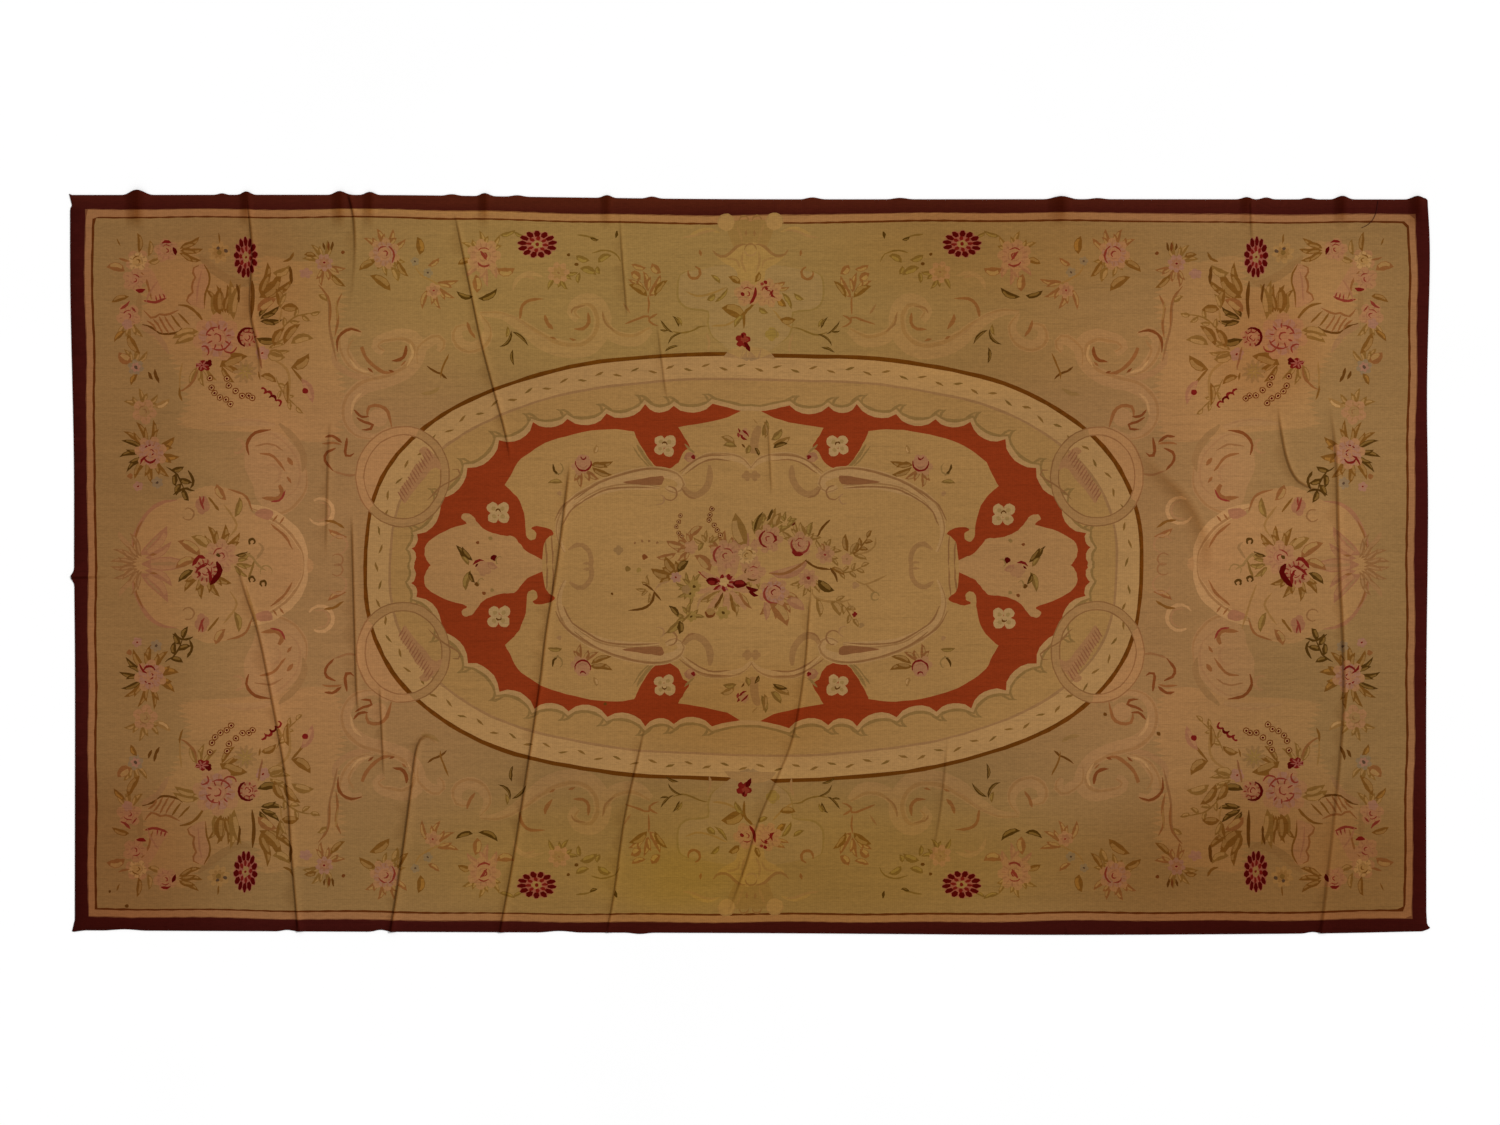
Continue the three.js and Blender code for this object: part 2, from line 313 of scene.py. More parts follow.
def leaf_rib(root, tip, width, bend):
    """A leaf's rib, bent by a parabola, and how far the leaf reaches from it at each point."""
    root = np.array(root, float)
    span = (np.array(tip, float) - root) * 1.06
    t = np.linspace(0, 1, 6 if np.hypot(*span) > 14 else 5)[:, None]
    rib = root + span * t + np.array([-span[1], span[0]]) * bend * 4 * t * (1 - t)
    return rib, (0.5 * width + 0.3) * np.sin(np.pi * t[:, 0] ** 0.9) ** 0.8


class Cartoon:
    """Areas in squares of the cartoon, each in one wool and laid over those before it."""

    def __init__(self):
        self.loops = []
        self.wools = []
        self.copies = ONCE
        self.centre = (0, 0)

    def area(self, points, wool):
        """An area of one wool, once for each copy of the part that is being drawn."""
        points = np.asarray(points, float)
        for copy in self.copies:
            self.loops.append(points * copy + self.centre)
            self.wools.append(wool)

    def shape(self, points, wool, steps=4):
        """A smooth closed area through a few points."""
        self.area(smooth(points, steps, closed=True), wool)

    def stroke(self, points, wool, width=1.8, root=0.3, tip=0.2):
        """A line of stitches: its full width along the middle, and a share of it at each end."""
        line = smooth(points, 8)
        length = np.linalg.norm(np.diff(line, axis=0), axis=1).sum()
        line = evenly(line, min(6, 3 + 0.05 * length))
        t = np.linspace(0, 1, len(line))
        share = np.minimum(1, np.minimum(root + 4 * t, tip + 4 * (1 - t)))
        self.area(ribbon(line, (width / 2 + 0.15) * share), wool)

    def leaf(self, root, tip, width, bend=0.0, wools="tan"):
        """A leaf: dark on the right of its rib and round its edge, and pale on its left."""
        blade, edge = LEAVES[wools]
        rib, out = leaf_rib(root, tip, width, bend)
        self.area(ribbon(rib, out), edge)
        self.area(ribbon(rib[1:-1], out[1:-1] - 0.6, out[1:-1] * 0.06), blade)

    def fan(self, root, reach, start, end, count, width, wools="tan"):
        """Leaves fanned from one root, between two angles in degrees, by turns long and short."""
        for k in range(count):
            angle = math.radians(start + (end - start) * k / (count - 1))
            out = np.array([math.cos(angle), math.sin(angle)]) * reach * (1 - 0.22 * (k % 2))
            self.leaf(root + 0.24 * out, root + out, width, 0.1 * (-1) ** k, wools)

    def sprig(self, route, size, count, wools="tan"):
        """A stem with small leaves by turns on its two sides, and one at its tip."""
        line = evenly(smooth(route, 8), 2)
        self.stroke(route, LEAVES[wools][1], 1.3)
        for k in range(count):
            at = (k + 1) * (len(line) - 2) // count
            along = (line[at + 1] - line[at - 1]) / np.linalg.norm(line[at + 1] - line[at - 1])
            if k < count - 1:
                along = 0.7 * along + np.array([-along[1], along[0]]) * (0.7 if k % 2 else -0.7)
            self.leaf(line[at], line[at] + along * size, 0.42 * size, 0.1, wools)

    def bloom(self, centre, radius, wool, lobes=6, depth=0.2, turn=0.0, squash=1.0):
        """A round area with lobes: its radius dips between them, by a share of itself."""
        angle = np.linspace(0, 2 * np.pi, max(7, 4 * lobes), endpoint=False)
        reach = radius * (1 - depth + depth * np.abs(np.cos(lobes * angle / 2)) ** 0.7)
        across = np.stack([np.cos(angle + turn), np.sin(angle + turn) * squash], 1)
        self.area(np.array(centre) + across * reach[:, None], wool)

    def ring_of_petals(self, centre, inner, outer, count, width, wool, turn=0.0, squash=1.0):
        """Lens-shaped petals round a centre, from one radius out to another."""
        t = np.linspace(0, 1, 3)
        for angle in turn + 2 * np.pi * np.arange(count) / count:
            out = np.array([math.cos(angle), math.sin(angle)])
            line = out * (inner + (outer - inner) * t[:, None])
            petal = ribbon(line, width / 2 * np.sin(np.pi * (0.12 + 0.8 * t)) ** 0.6)
            self.area(np.array(centre) + petal * (1, squash), wool)

    def arc(self, centre, radius, start, end, wool, width=1.8, squash=1.0):
        """A crescent of stitches round a centre, between two angles in degrees."""
        angle = np.radians(np.linspace(start, end, max(4, int(abs(end - start) / 25) + 2)))
        line = np.array(centre) + radius * np.stack([np.cos(angle), np.sin(angle) * squash], 1)
        self.area(ribbon(line, width / 2 * np.sin(np.linspace(0.5, np.pi - 0.4, len(angle)))), wool)

    def rose(self, centre, radius, wools="pink", turn=0.0):
        """A full rose on a faint blush: lobed petals, hatched outwards, round a cup of crescents."""
        outer, middle, heart, dark = ROSES[wools]
        petals = 5 if radius < 11 else 7
        degrees = math.degrees(turn)
        line = 0.05 * radius + 0.8
        self.bloom(centre, 1.3 * radius, "blush", petals, 0.3, turn + 0.5)
        self.bloom(centre, radius, outer, petals, 0.26, turn)
        self.ring_of_petals(centre, 0.62 * radius, 0.97 * radius, 2 * petals - 1, 1.3 * line, middle, turn)
        self.bloom(centre, 0.6 * radius, heart, petals, 0.2, turn + 0.4)
        for k in range(3):
            start = degrees + 100 * k
            self.arc(centre, (0.58 - 0.1 * k) * radius, start, start + 85, middle if k else dark, line)
        self.arc(centre, 0.22 * radius, degrees + 40, degrees + 230, dark if radius > 9 else middle, line)

    def daisy(self, centre, radius, count=7, wools="pink", turn=0.0, squash=1.0):
        """An open flower: pointed petals round a small heart, in two rows if it is large."""
        outer, middle, heart, dark = ROSES[wools]
        self.ring_of_petals(centre, 0.1 * radius, radius, count, 5.2 * radius / count, outer, turn, squash)
        if radius > 7.5:
            self.ring_of_petals(centre, 0.15 * radius, 0.62 * radius, count, 2.6 * radius / count, middle,
                                turn + math.pi / count, squash)
        self.bloom(centre, 0.24 * radius, heart, 3, 0.1)
        self.bloom(centre, 0.1 * radius + 0.4, dark, 2, 0.1)

    def mum(self, centre, wide, high, count=13, turn=0.1):
        """A chrysanthemum: dark petals, parted by pale lines, round a tan heart."""
        squash = high / wide
        self.bloom(centre, 1.03 * wide, "petal_rose", count, 0.16, turn, squash)
        narrow = wide / count
        self.ring_of_petals(centre, 0.56 * wide, wide, count, 4.4 * narrow, "petal_dark", turn, squash)
        self.ring_of_petals(centre, 0.28 * wide, 0.58 * wide, count - 5, 3 * narrow, "wine", turn, squash)
        self.bloom(centre, 0.3 * wide, "heart_tan", 5, 0.3, turn, squash)
        self.bloom(centre, 0.1 * wide, "wine", 2, 0.0)

    def clover(self, petals, radii, heart):
        """A four-petalled flower: round petals, each shaded inside, and a small brown heart."""
        for (x, y), radius in zip(petals, radii):
            self.bloom((x, y), radius, "clover", 3, 0.08)
            inwards = (x + 0.2 * (heart[0] - x), y + 0.2 * (heart[1] - y))
            self.bloom(inwards, 0.4 * radius, "clover_shade", 2, 0.05)
        self.bloom(heart, 3.4, "clover", 2, 0.0)
        self.arc(heart, 2.4, 10, 190, "leaf_brown", 1.7)

    def beads(self, places, radius=3.4):
        """A string of berries: a brown ring, a pale middle and a dark eye."""
        for place in places:
            self.bloom(place, radius, "rust_dark", 2, 0.0)
            self.bloom(place, 0.64 * radius, "cream_light", 2, 0.0)
            self.bloom(place, 0.4 * radius, "petal_dark", 1, 0.0)

    def scroll(self, route, width, wools="cream"):
        """A scroll: a pale band along a curling line, drawn in at its tail and shaded on its right."""
        body, shade = SCROLLS[wools]
        line = evenly(smooth(route, 10), 5.2)
        t = np.linspace(0, 1, len(line))
        out = 0.62 * width * np.minimum(1, 0.25 + 2.2 * t) * np.minimum(1, 0.45 + 2.5 * (1 - t))
        self.area(ribbon(line, out), body)
        self.area(ribbon(line, -0.35 * out, 0.8 * out), shade)

    def draw(self, rows):
        """Draws a table of motifs: each row names its kind, and then gives what that kind takes."""
        for kind, *values in rows:
            getattr(self, kind)(*values)


# Wools: the sRGB colour that each reads as, aged and under even light

WOOLS = {
    "guard": "#3a110d",
    "guard_line": "#6b4027",
    "stripe": "#8c5f3b",
    "thin_line": "#54280c",
    "field": "#83623a",
    "panel": "#8c673f",
    "panel_faint": "#8d673d",
    "cream": "#9d7648",
    "cream_light": "#9c7748",
    "medallion": "#936d3e",
    "scallop": "#997347",
    "olive_line": "#7b5c32",
    "shield": "#966d42",
    "brick": "#7c2e12",
    "oval": "#5a3009",
    "mauve": "#764a2a",
    "comb": "#8f643f",
    "comb_tooth": "#7d4f32",
    "mauve_pale": "#85603c",
    "bracket": "#855f37",
    "cart": "#90693f",
    "leaf_edge": "#735024",
    "blush": "#8f6440",
    "pink": "#86593b",
    "pink_deep": "#722c1e",
    "rose_pale": "#906242",
    "petal_rose": "#84493a",
    "petal_dark": "#480705",
    "wine": "#641610",
    "heart_tan": "#86633a",
    "leaf_tan": "#825d31",
    "leaf_light": "#8d683b",
    "leaf_brown": "#56330f",
    "leaf_shade": "#6a4419",
    "olive": "#6c4d22",
    "olive_dark": "#462d0c",
    "olive_light": "#80612f",
    "rust": "#784b26",
    "rust_dark": "#623414",
    "ochre": "#855a26",
    "sage": "#7f5d36",
    "shield_olive": "#866540",
    "clover": "#9a784d",
    "clover_shade": "#8a6b3f",
    "crown": "#805d34",
    "blue_grey": "#796043",
    "blue_dark": "#4e3827",
    "lilac": "#8a6049",
    "scroll": "#8f6b46",
    "scroll_shade": "#88623c",
    "scroll_edge": "#7a532f",
    "scroll_dark": "#693818",
}

# The blade and the edge of each kind of leaf
LEAVES = {
    "tan": ("leaf_light", "leaf_edge"),
    "brown": ("leaf_tan", "leaf_shade"),
    "olive": ("olive_light", "olive"),
    "dark": ("olive", "olive_dark"),
    "rust": ("leaf_light", "rust"),
    "ochre": ("ochre", "leaf_shade"),
    "pale": ("cream", "leaf_tan"),
    "blush": ("blush", "pink"),
    "wine": ("wine", "petal_dark"),
    "shell": ("scroll_shade", "scroll_edge"),
}

# The outer petals, the inner ones, the heart and the dark stitches of each kind of rose
ROSES = {
    "pink": ("rose_pale", "pink", "blush", "pink_deep"),
    "wine": ("pink", "pink_deep", "rose_pale", "wine"),
    "pale": ("blush", "pink", "rose_pale", "pink_deep"),
    "peach": ("cream", "heart_tan", "medallion", "leaf_shade"),
    "blue": ("blue_grey", "lilac", "blue_dark", "blue_dark"),
    "lilac": ("lilac", "pink", "rose_pale", "wine"),
    "faint": ("blush", "bracket", "heart_tan", "scroll_edge"),
    "olive": ("leaf_light", "leaf_tan", "olive", "olive"),
    "sage": ("olive_light", "sage", "olive_dark", "olive_dark"),
    "peony": ("lilac", "pink", "rose_pale", "pink_deep"),
}

# The body and the shade of each kind of scroll
SCROLLS = {
    "cream": ("panel", "bracket"),
    "pale": ("scallop", "bracket"),
    "faint": ("panel", "scroll_shade"),
}


# The woven sheet

def linear(code):
    """A colour's sRGB hex value as linear red, green and blue."""
    s = np.array([int(code[i:i + 2], 16) for i in (1, 3, 5)]) / 255
    return np.where(s <= 0.04045, s / 12.92, ((s + 0.055) / 1.055) ** 2.4)


def hand_drawn(places):
    """Bends the cartoon as a weaver's hand does: long slow waves of about a square, and a short
    tremble of a quarter of one, both fixed functions of the place, so that areas still meet."""
    x, y = places.T
    slow_x = 0.9 * np.sin(y / 47 + 1.3) * np.cos(x / 83) + 0.5 * np.sin(y / 19 + x / 61)
    slow_y = 0.9 * np.sin(x / 53 + 0.4) * np.cos(y / 71) + 0.5 * np.sin(x / 23 - y / 57)
    short_x = 0.24 * np.sin(y * 1.13 + 0.7 * np.sin(x * 0.8)) + 0.14 * np.sin(y * 2.3 + x * 0.9)
    short_y = 0.24 * np.sin(x * 1.07 + 0.8 * np.sin(y * 0.9)) + 0.14 * np.sin(x * 2.1 - y * 1.2)
    return places + np.stack([slow_x + short_x, slow_y + short_y], 1)


def wool_of_each(places, loops, wools, ground):
    """The number of the wool on top at each place: the last area that holds it. The places are taken
    in order along x, so that each area is tried on those beside it only."""
    order = places[:, 0].argsort()
    sorted_places = places[order]
    found = np.full(len(places), ground)
    for loop, wool in zip(loops, wools):
        first, last = np.searchsorted(sorted_places[:, 0], (loop[:, 0].min(), loop[:, 0].max()))
        found[first:last][inside(sorted_places[first:last], loop)] = wool
    unsorted = np.empty_like(found)
    unsorted[order] = found
    return unsorted


def by_the_edge(places):
    """Which places lie in the band where the carpet's edge runs."""
    return (np.abs(places) > EDGE_BAND).any(1)


def grid(low, high, step):
    """Places in staggered rows, one step apart."""
    rows = np.arange(low[1], high[1], step * 0.87)
    columns = np.arange(low[0], high[0], step)
    x, y = np.meshgrid(columns, rows)
    x[::2] += step / 2
    return np.stack([x.ravel(), y.ravel()], 1)


def kept_inside(line, outline, margin):
    """The runs of a line that lie inside the outline, and a margin away from it."""
    near = np.linalg.norm(line[:, None] - outline[None], axis=-1).min(1) < margin
    good = inside(line, outline) & ~near
    cuts = np.flatnonzero(np.diff(good.astype(int))) + 1
    runs = zip(np.split(line, cuts), np.split(good, cuts))
    return [run for run, keep in runs if keep[0] and len(run) > 1]


def face_of_sheet(outline, loops, wools, grid_step, guides):
    """One face of the sheet, flat: its places, its triangles and the number of each one's wool. All
    areas are laid out first, to find the seams that show, and the face is then made along those and
    along the guides. Loose places of the grid stay off both."""
    number = {name: index for index, name in enumerate(WOOLS)}
    wools = [number[wool] for wool in wools]
    places, triangles = triangulated(*numbered([(loop, True) for loop in [outline] + loops]))
    found = wool_of_each(places[triangles].mean(1), loops, wools, number["guard"])
    used, shown = np.unique(seams(triangles, found), return_inverse=True)

    lines = [(run, False) for guide in guides for run in kept_inside(guide, outline, 4 * MM)]
    points = grid(outline.min(0), outline.max(0), grid_step)
    points = points[inside(points, outline)]
    points = points[np.linalg.norm(points[:, None] - outline[None, ::3], axis=-1).min(1) > 12 * MM]
    line_places, edges = numbered([(outline, True)] + lines)
    edges = np.vstack([edges, shown.reshape(-1, 2) + len(line_places)])
    places, triangles = triangulated(np.vstack([line_places, places[used], points]), edges)
    centres = places[triangles].mean(1)
    outer = by_the_edge(centres)
    held = ~outer
    held[outer] = inside(centres[outer], outline)
    triangles, centres = triangles[held], centres[held]
    return places, triangles, wool_of_each(centres, loops, wools, number["guard"])


def outline_first(places, triangles, outline):
    """Renumbers the places so that the outline's own come first and in order, and drops unused ones."""
    used = np.zeros(len(places), bool)
    used[triangles] = True
    outer = np.flatnonzero(by_the_edge(places))
    rim = outer[np.linalg.norm(places[outer][None] - outline[:, None], axis=-1).argmin(1)]
    others = np.setdiff1d(np.flatnonzero(used), rim)
    order = np.concatenate([rim, others])
    renumber = np.full(len(places), -1)
    renumber[order] = np.arange(len(order))
    return places[order], renumber[triangles]


# The pattern: its large areas

# Half the length and width, in squares, of the areas inside the guard band
GUARD_LINE = (665.2, 355.2)
GUARD_INNER = (664.3, 354.3)
STRIPE_INNER = (658.4, 347.8)
LINE_INNER = (656, 346)
# How far the bands stray inwards: (place along the side, squares)
TOP_STRAY = ((-650, 0), (-350, -0.5), (-300, 1.5), (-200, 3.2), (-100, 5.6), (50, 6), (100, 4.1),
             (250, 3), (400, 3.6), (450, 5), (650, 4.6))
BOTTOM_STRAY = ((-650, 2.5), (-500, 1.2), (-350, -0.5), (-250, -2.3), (0, -2.8), (200, -2.5), (300, -1.3),
                (500, -1.3), (600, 0.3), (650, 0.9))
LEFT_STRAY = ((-300, 3.3), (50, 3), (120, 1), (200, 2), (254, -0.2), (334, 0.3))
RIGHT_STRAY = ((-300, 2.6), (-180, 0.6), (50, 0.4), (150, -0.6), (214, -2), (290, -2.6), (334, -0.6))
OVAL_CENTRE = (3.5, -2.5)
OVAL = (388, 212.5)
OVAL_POWER = 2.55

# The peach ground behind each corner bouquet
CORNER_PANEL = (
    (405, 264), (420, 302), (450, 302), (488, 308), (495, 279), (518, 282), (547, 302), (565, 324),
    (600, 302), (604, 264), (610, 244), (590, 224), (572, 199), (560, 164), (565, 139), (500, 132),
    (420, 124), (405, 164), (412, 204), (412, 234),
)

# The brick ring: spikes of its scalloped outer edge, each with the depth of the scallop after it
RING_SPIKES = (
    (10, 155, 0.5), (38.7, 161.4, 8.4), (77.5, 159, 7.5), (106, 161, 8.5), (144.6, 151.8, 9),
     (184, 146.1, 7),
    (218.6, 143, 9), (253.5, 125.7, 9), (284.6, 98.2, 9), (312.2, 67.6, 11), (334.4, 31.3, 3),
    (339.5, 17.3, 3), (337, 2.8, 0), (337, 0, 0),
)
RING_INNER = (
    (23, 148), (45.6, 142.3), (72.4, 137.7), (66, 127), (61, 118), (67.3, 113), (72.4, 103),
     (82.6, 96.4),
    (91.5, 97.2), (99.2, 102.8), (106.8, 114.3), (113.2, 125.7), (117, 134), (135, 136.4),
     (160.4, 134.7),
    (186, 128.8), (206.3, 122), (221.6, 113), (234.4, 102.8), (240.8, 90), (246.6, 79.8), (239.5, 73.4),
    (231.8, 64.5), (226.7, 51.8), (224.7, 39), (224.2, 29), (219.5, 24.6), (214.6, 27), (214.4, 33),
    (219, 36.4), (213, 38.9), (201.2, 36.4), (196.6, 31.9), (202.5, 27.5), (206.3, 21.1), (208.4, 5.8),
)
RING_CORNERS = ((72.4, 137.7), (117, 134), (246.6, 79.8))
SHIELD_EDGE = (
    (216.5, 9.7), (224.2, 13.5), (231.8, 22.4), (237, 28), (247.1, 28.8), (257.3, 31.3), (267.6, 36.4),
    (274, 44.1), (279, 50.5), (286.7, 51.8), (289.2, 46.7), (284.1, 41.6), (300.7, 36.4), (316, 28.8),
    (325, 21.1), (326.7, 11), (323.2, 3.3), (320.4, 0),
)
# Diagonal rings over the oval line, and the comb hatch in each
KNOT = (347, 87.5)
KNOT_REACH = (46, 49.5)
COMB = (
    (330, 116), (324, 117.3), (316.5, 110), (310.5, 102.5), (309, 94.8), (314, 97), (319, 94.8),
     (324, 87.3),
    (331.5, 78.5), (339, 68.5), (344, 61), (346.5, 62.3), (349, 67.3), (349.6, 73.5), (346.5, 78.5),
    (341.5, 85), (337.8, 93.5), (334, 99.8), (328, 102.5), (326.5, 108.5), (331.5, 112.3),
)


def rectangle(half_length, half_width):
    """A rectangle about the centre, with a point every few squares."""
    corners = [(-half_length, -half_width), (half_length, -half_width), (half_length, half_width),
               (-half_length, half_width), (-half_length, -half_width)]
    return evenly(corners, 9)[:-1]


def strayed(points):
    """A band's edge, moved inwards on each side by as much as that side strays."""
    x, y = points.T
    near = np.clip((np.abs(points) - (600, 300)) / 40, 0, 1)
    left, right, low, high = (np.interp(along, *np.array(table).T) for along, table in (
        (y, LEFT_STRAY), (y, RIGHT_STRAY), (x, BOTTOM_STRAY), (x, TOP_STRAY)))
    return points + near * np.stack([np.where(x < 0, left, -right), np.where(y < 0, low, -high)], 1)


def superellipse(half_length, half_width, power, count=150):
    """A closed curve on which |x/a|^p + |y/b|^p is 1."""
    angle = np.linspace(0, 2 * np.pi, count, endpoint=False)
    c, s = np.cos(angle), np.sin(angle)
    return np.stack([half_length * np.sign(c) * np.abs(c) ** (2 / power),
                     half_width * np.sign(s) * np.abs(s) ** (2 / power)], 1)


def ellipse(centre, reach, count=40):
    angle = np.linspace(0, 2 * np.pi, count, endpoint=False)
    return np.array(centre) + np.stack([np.cos(angle), np.sin(angle)], 1) * reach


def hoop(centre, outer, inner):
    """A flat ring: its outer edge one way round, and its inner edge the other way."""
    outside = ellipse(centre, outer)
    hole = ellipse(centre, inner)[::-1]
    return np.vstack([outside, outside[:1], hole[-1:], hole])


def scalloped(spikes, out=0.0, deep=1.0):
    """A line from spike to spike: between two of them it bulges inwards by a flattened sine wave.
    It can lie a distance out from the spikes."""
    runs = []
    t = np.linspace(0, 1, 7)[:-1, None]
    for (ax, ay, depth), (bx, by, _) in zip(spikes, spikes[1:]):
        a, b = np.array([ax, ay]), np.array([bx, by])
        side = np.array([a[1] - b[1], b[0] - a[0]]) / (np.linalg.norm(b - a) + 1e-9)
        if side @ a > 0:
            side = -side
        runs.append(a + (b - a) * t + side * (depth * deep * np.sin(np.pi * t) ** 0.65 - out))
    return np.vstack(runs + [np.array([spikes[-1][:2]]) * (1 + out / 340)])


def hatched(points, step, reach):
    """A smooth closed area whose edge goes in and out sideways at each step, as where a weaver joins
    two close colours by hatching."""
    edge = smooth(points, 8, closed=True)
    edge = evenly(np.vstack([edge, edge[:1]]), step)[:-1]
    edge[::2, 0] += reach
    edge[1::2, 0] -= reach * 0.6
    return edge


def curved(points, corners=()):
    """A line that is smooth between its ends and the given corners."""
    stops = [0] + [k for k, point in enumerate(points) if point in corners] + [len(points) - 1]
    runs = [smooth(points[a:b + 1], 3)[:-1] for a, b in zip(stops, stops[1:])]
    return np.vstack(runs + [np.array(points[-1:])])


def draw_bands(cartoon):
    """The thin lines and the stripe inside the guard band, and the field."""
    cartoon.copies = ONCE
    for half, wool in ((GUARD_LINE, "guard_line"), (GUARD_INNER, "stripe"), (STRIPE_INNER, "thin_line"),
                       (LINE_INNER, "field")):
        cartoon.area(strayed(rectangle(*half)), wool)
    cartoon.copies = QUARTERS
    cartoon.area(hatched(CORNER_PANEL, 3, 6), "panel_faint")
    cartoon.area(ellipse(KNOT, np.array(KNOT_REACH) - 4), "cart")


def draw_medallion_ground(cartoon):
    """The oval's brown line, its bands of cream, and the brick ring with its scalloped edging."""
    cartoon.copies = ONCE
    cartoon.centre = OVAL_CENTRE
    half_length, half_width = OVAL
    for inset, power, wool in ((-2, OVAL_POWER, "oval"), (2, OVAL_POWER, "cream"),
                               (23.4, 2.5, "scroll_shade"), (25.8, 2.5, "medallion")):
        cartoon.area(superellipse(half_length - inset, half_width - inset, power), wool)
    cartoon.centre = (1.5, -1)
    cartoon.copies = QUARTERS
    spikes = RING_SPIKES
    for (u, v, depth), (_, _, after) in zip(spikes[1:-3], spikes[2:-2]):
        outer = ((u + 4, v - 1), (u + 5, v + 4), (u + 7, v + 8), (u + 11, v + 9.5))
        inner = ((u + 8, v + 9), (u + 3, v + 8.5), (u - 2, v + 5.5), (u - 7, v + 1.5))
        cartoon.stroke(outer, "olive_line", 2.2)
        cartoon.stroke(inner, "olive_line", 2)
    cartoon.area(np.vstack([scalloped(spikes, 6.8, 0.8), [(0, 0), (0, 161.8)]]), "olive_line")
    cartoon.area(np.vstack([scalloped(spikes, 4.4, 0.88), [(0, 0), (0, 159.4)]]), "scallop")
    cartoon.area(np.vstack([scalloped(spikes), [(0, 0), (0, 155)]]), "medallion")
    edge = curved(SHIELD_EDGE)
    inner = curved(RING_INNER, RING_CORNERS)
    cartoon.area(np.vstack([scalloped(spikes), edge[::-1], inner[::-1]]), "brick")
    shield = np.vstack([edge, [(208.4, 0), (208.4, 5.8)]])
    cartoon.area(shield, "shield")


def draw_knots(cartoon):
    """The four rings that loop over the oval line, with combed hatching inside."""
    cartoon.centre = (0, 0)
    cartoon.copies = QUARTERS
    reach = np.array(KNOT_REACH)
    cartoon.area(hoop(KNOT, reach + 1.2, reach - 8.2), "scroll_edge")
    cartoon.area(hoop(KNOT, reach, reach - 7), "cart")
    cartoon.shape(COMB, "comb", 2)
    for k in range(15):
        u, v = 317.5 + 2 * k, 112 - 3.1 * k
        cartoon.stroke(((u + 6, v + 3.5), (u, v - 6)), "comb_tooth", 1.0, 0.6, 0.3)
    curl = ((298, 95), (291.5, 94.8), (290, 89.8), (296.5, 84.8), (309, 77.3), (322, 64))
    cartoon.stroke(curl, "scroll_edge", 1.4)


# The pattern: its flowers, leaves and scrolls. A quarter's motifs are counted from the centre
# outwards and upwards, and are woven in all four quarters.

# A corner's bouquet of peonies, with the two acanthus wings and the shell beside it
CORNER_WINGS = (
    ("shape", ((609, 294), (603, 284), (598, 265), (583, 267), (588, 276), (600, 297)), "blush", 3),
    ("stroke", ((609, 293), (603, 284), (600, 272), (598, 265)), "rust", 2),
    ("stroke", ((606, 264.5), (595, 262.5), (583, 266.7)), "pink_deep", 2.4),
    ("stroke", ((593, 263), (594, 269.5)), "pink_deep", 1.5),
    ("stroke", ((588.5, 264), (590.5, 270.5)), "pink_deep", 1.5),
    ("stroke", ((584.5, 266), (587, 271)), "pink_deep", 1.5),
    ("stroke", ((552, 308), (536, 294), (521, 285), (508, 281), (499, 286)), "sage", 8),
    ("stroke", ((610, 272), (611, 258), (611, 242)), "sage", 6),
    ("shape", ((552, 299), (559, 294), (555, 285), (559, 280), (557, 272), (562, 268), (563, 263),
               (556, 259),
               (545, 256), (544, 271), (541, 281), (541, 290), (546, 300)), "blush", 3),
    ("stroke", ((552, 299), (558.5, 294.5), (554.6, 285.5), (558.5, 280.5), (557, 272), (562, 268),
                (563, 263.5), (559, 260)), "rust", 1.9),
    ("stroke", ((547, 300), (541.5, 290), (541.5, 280), (544.6, 271), (545.4, 256)), "leaf_shade", 1.8),
    ("stroke", ((553, 262), (552, 280), (549, 294)), "pink", 1.4),
    ("stroke", ((592, 284), (600, 272), (604, 262)), "pink", 1.4),
    ("shape", ((606, 255), (598, 247), (590, 250.5), (577, 252), (571, 259), (561, 258), (552, 251),
               (545, 242), (552, 236), (568, 237), (573, 232), (583, 230), (593, 232), (608, 241)),
                "panel", 3),
    ("stroke", ((606, 255), (598.5, 246.7), (590, 250.5), (584, 249.5), (577, 252), (571, 255)),
                "rust", 2),
    ("stroke", ((571.5, 259.8), (561.5, 258.2), (552.3, 251.3), (545.4, 242)), "leaf_shade", 2.4),
    ("stroke", ((608, 240.5), (598.5, 237.5), (592, 232), (583, 230.5), (572, 232.8), (567.7, 237)),
     "leaf_brown", 2),
    ("stroke", ((603, 244), (597, 240), (593, 233)), "rust", 1.8),
    ("stroke", ((597, 246), (592, 240), (587, 231)), "rust", 1.8),
    ("stroke", ((591, 248), (587, 241), (581, 231)), "rust", 1.8),
    ("stroke", ((585, 248), (581, 241), (575, 233)), "rust", 1.7),
    ("stroke", ((579, 250), (574, 243), (569, 237)), "leaf_shade", 1.7),
    ("stroke", ((572, 252), (566, 246), (560, 240)), "leaf_shade", 1.6),
    ("leaf", (551, 233), (576, 227), 8, 0.1, "tan"),
    ("leaf", (551, 228), (574, 221), 7, 0.1, "tan"),
    ("stroke", ((609, 239), (594, 230), (586, 220), (581, 211)), "mauve_pale", 5, 0.5, 0.2),
)
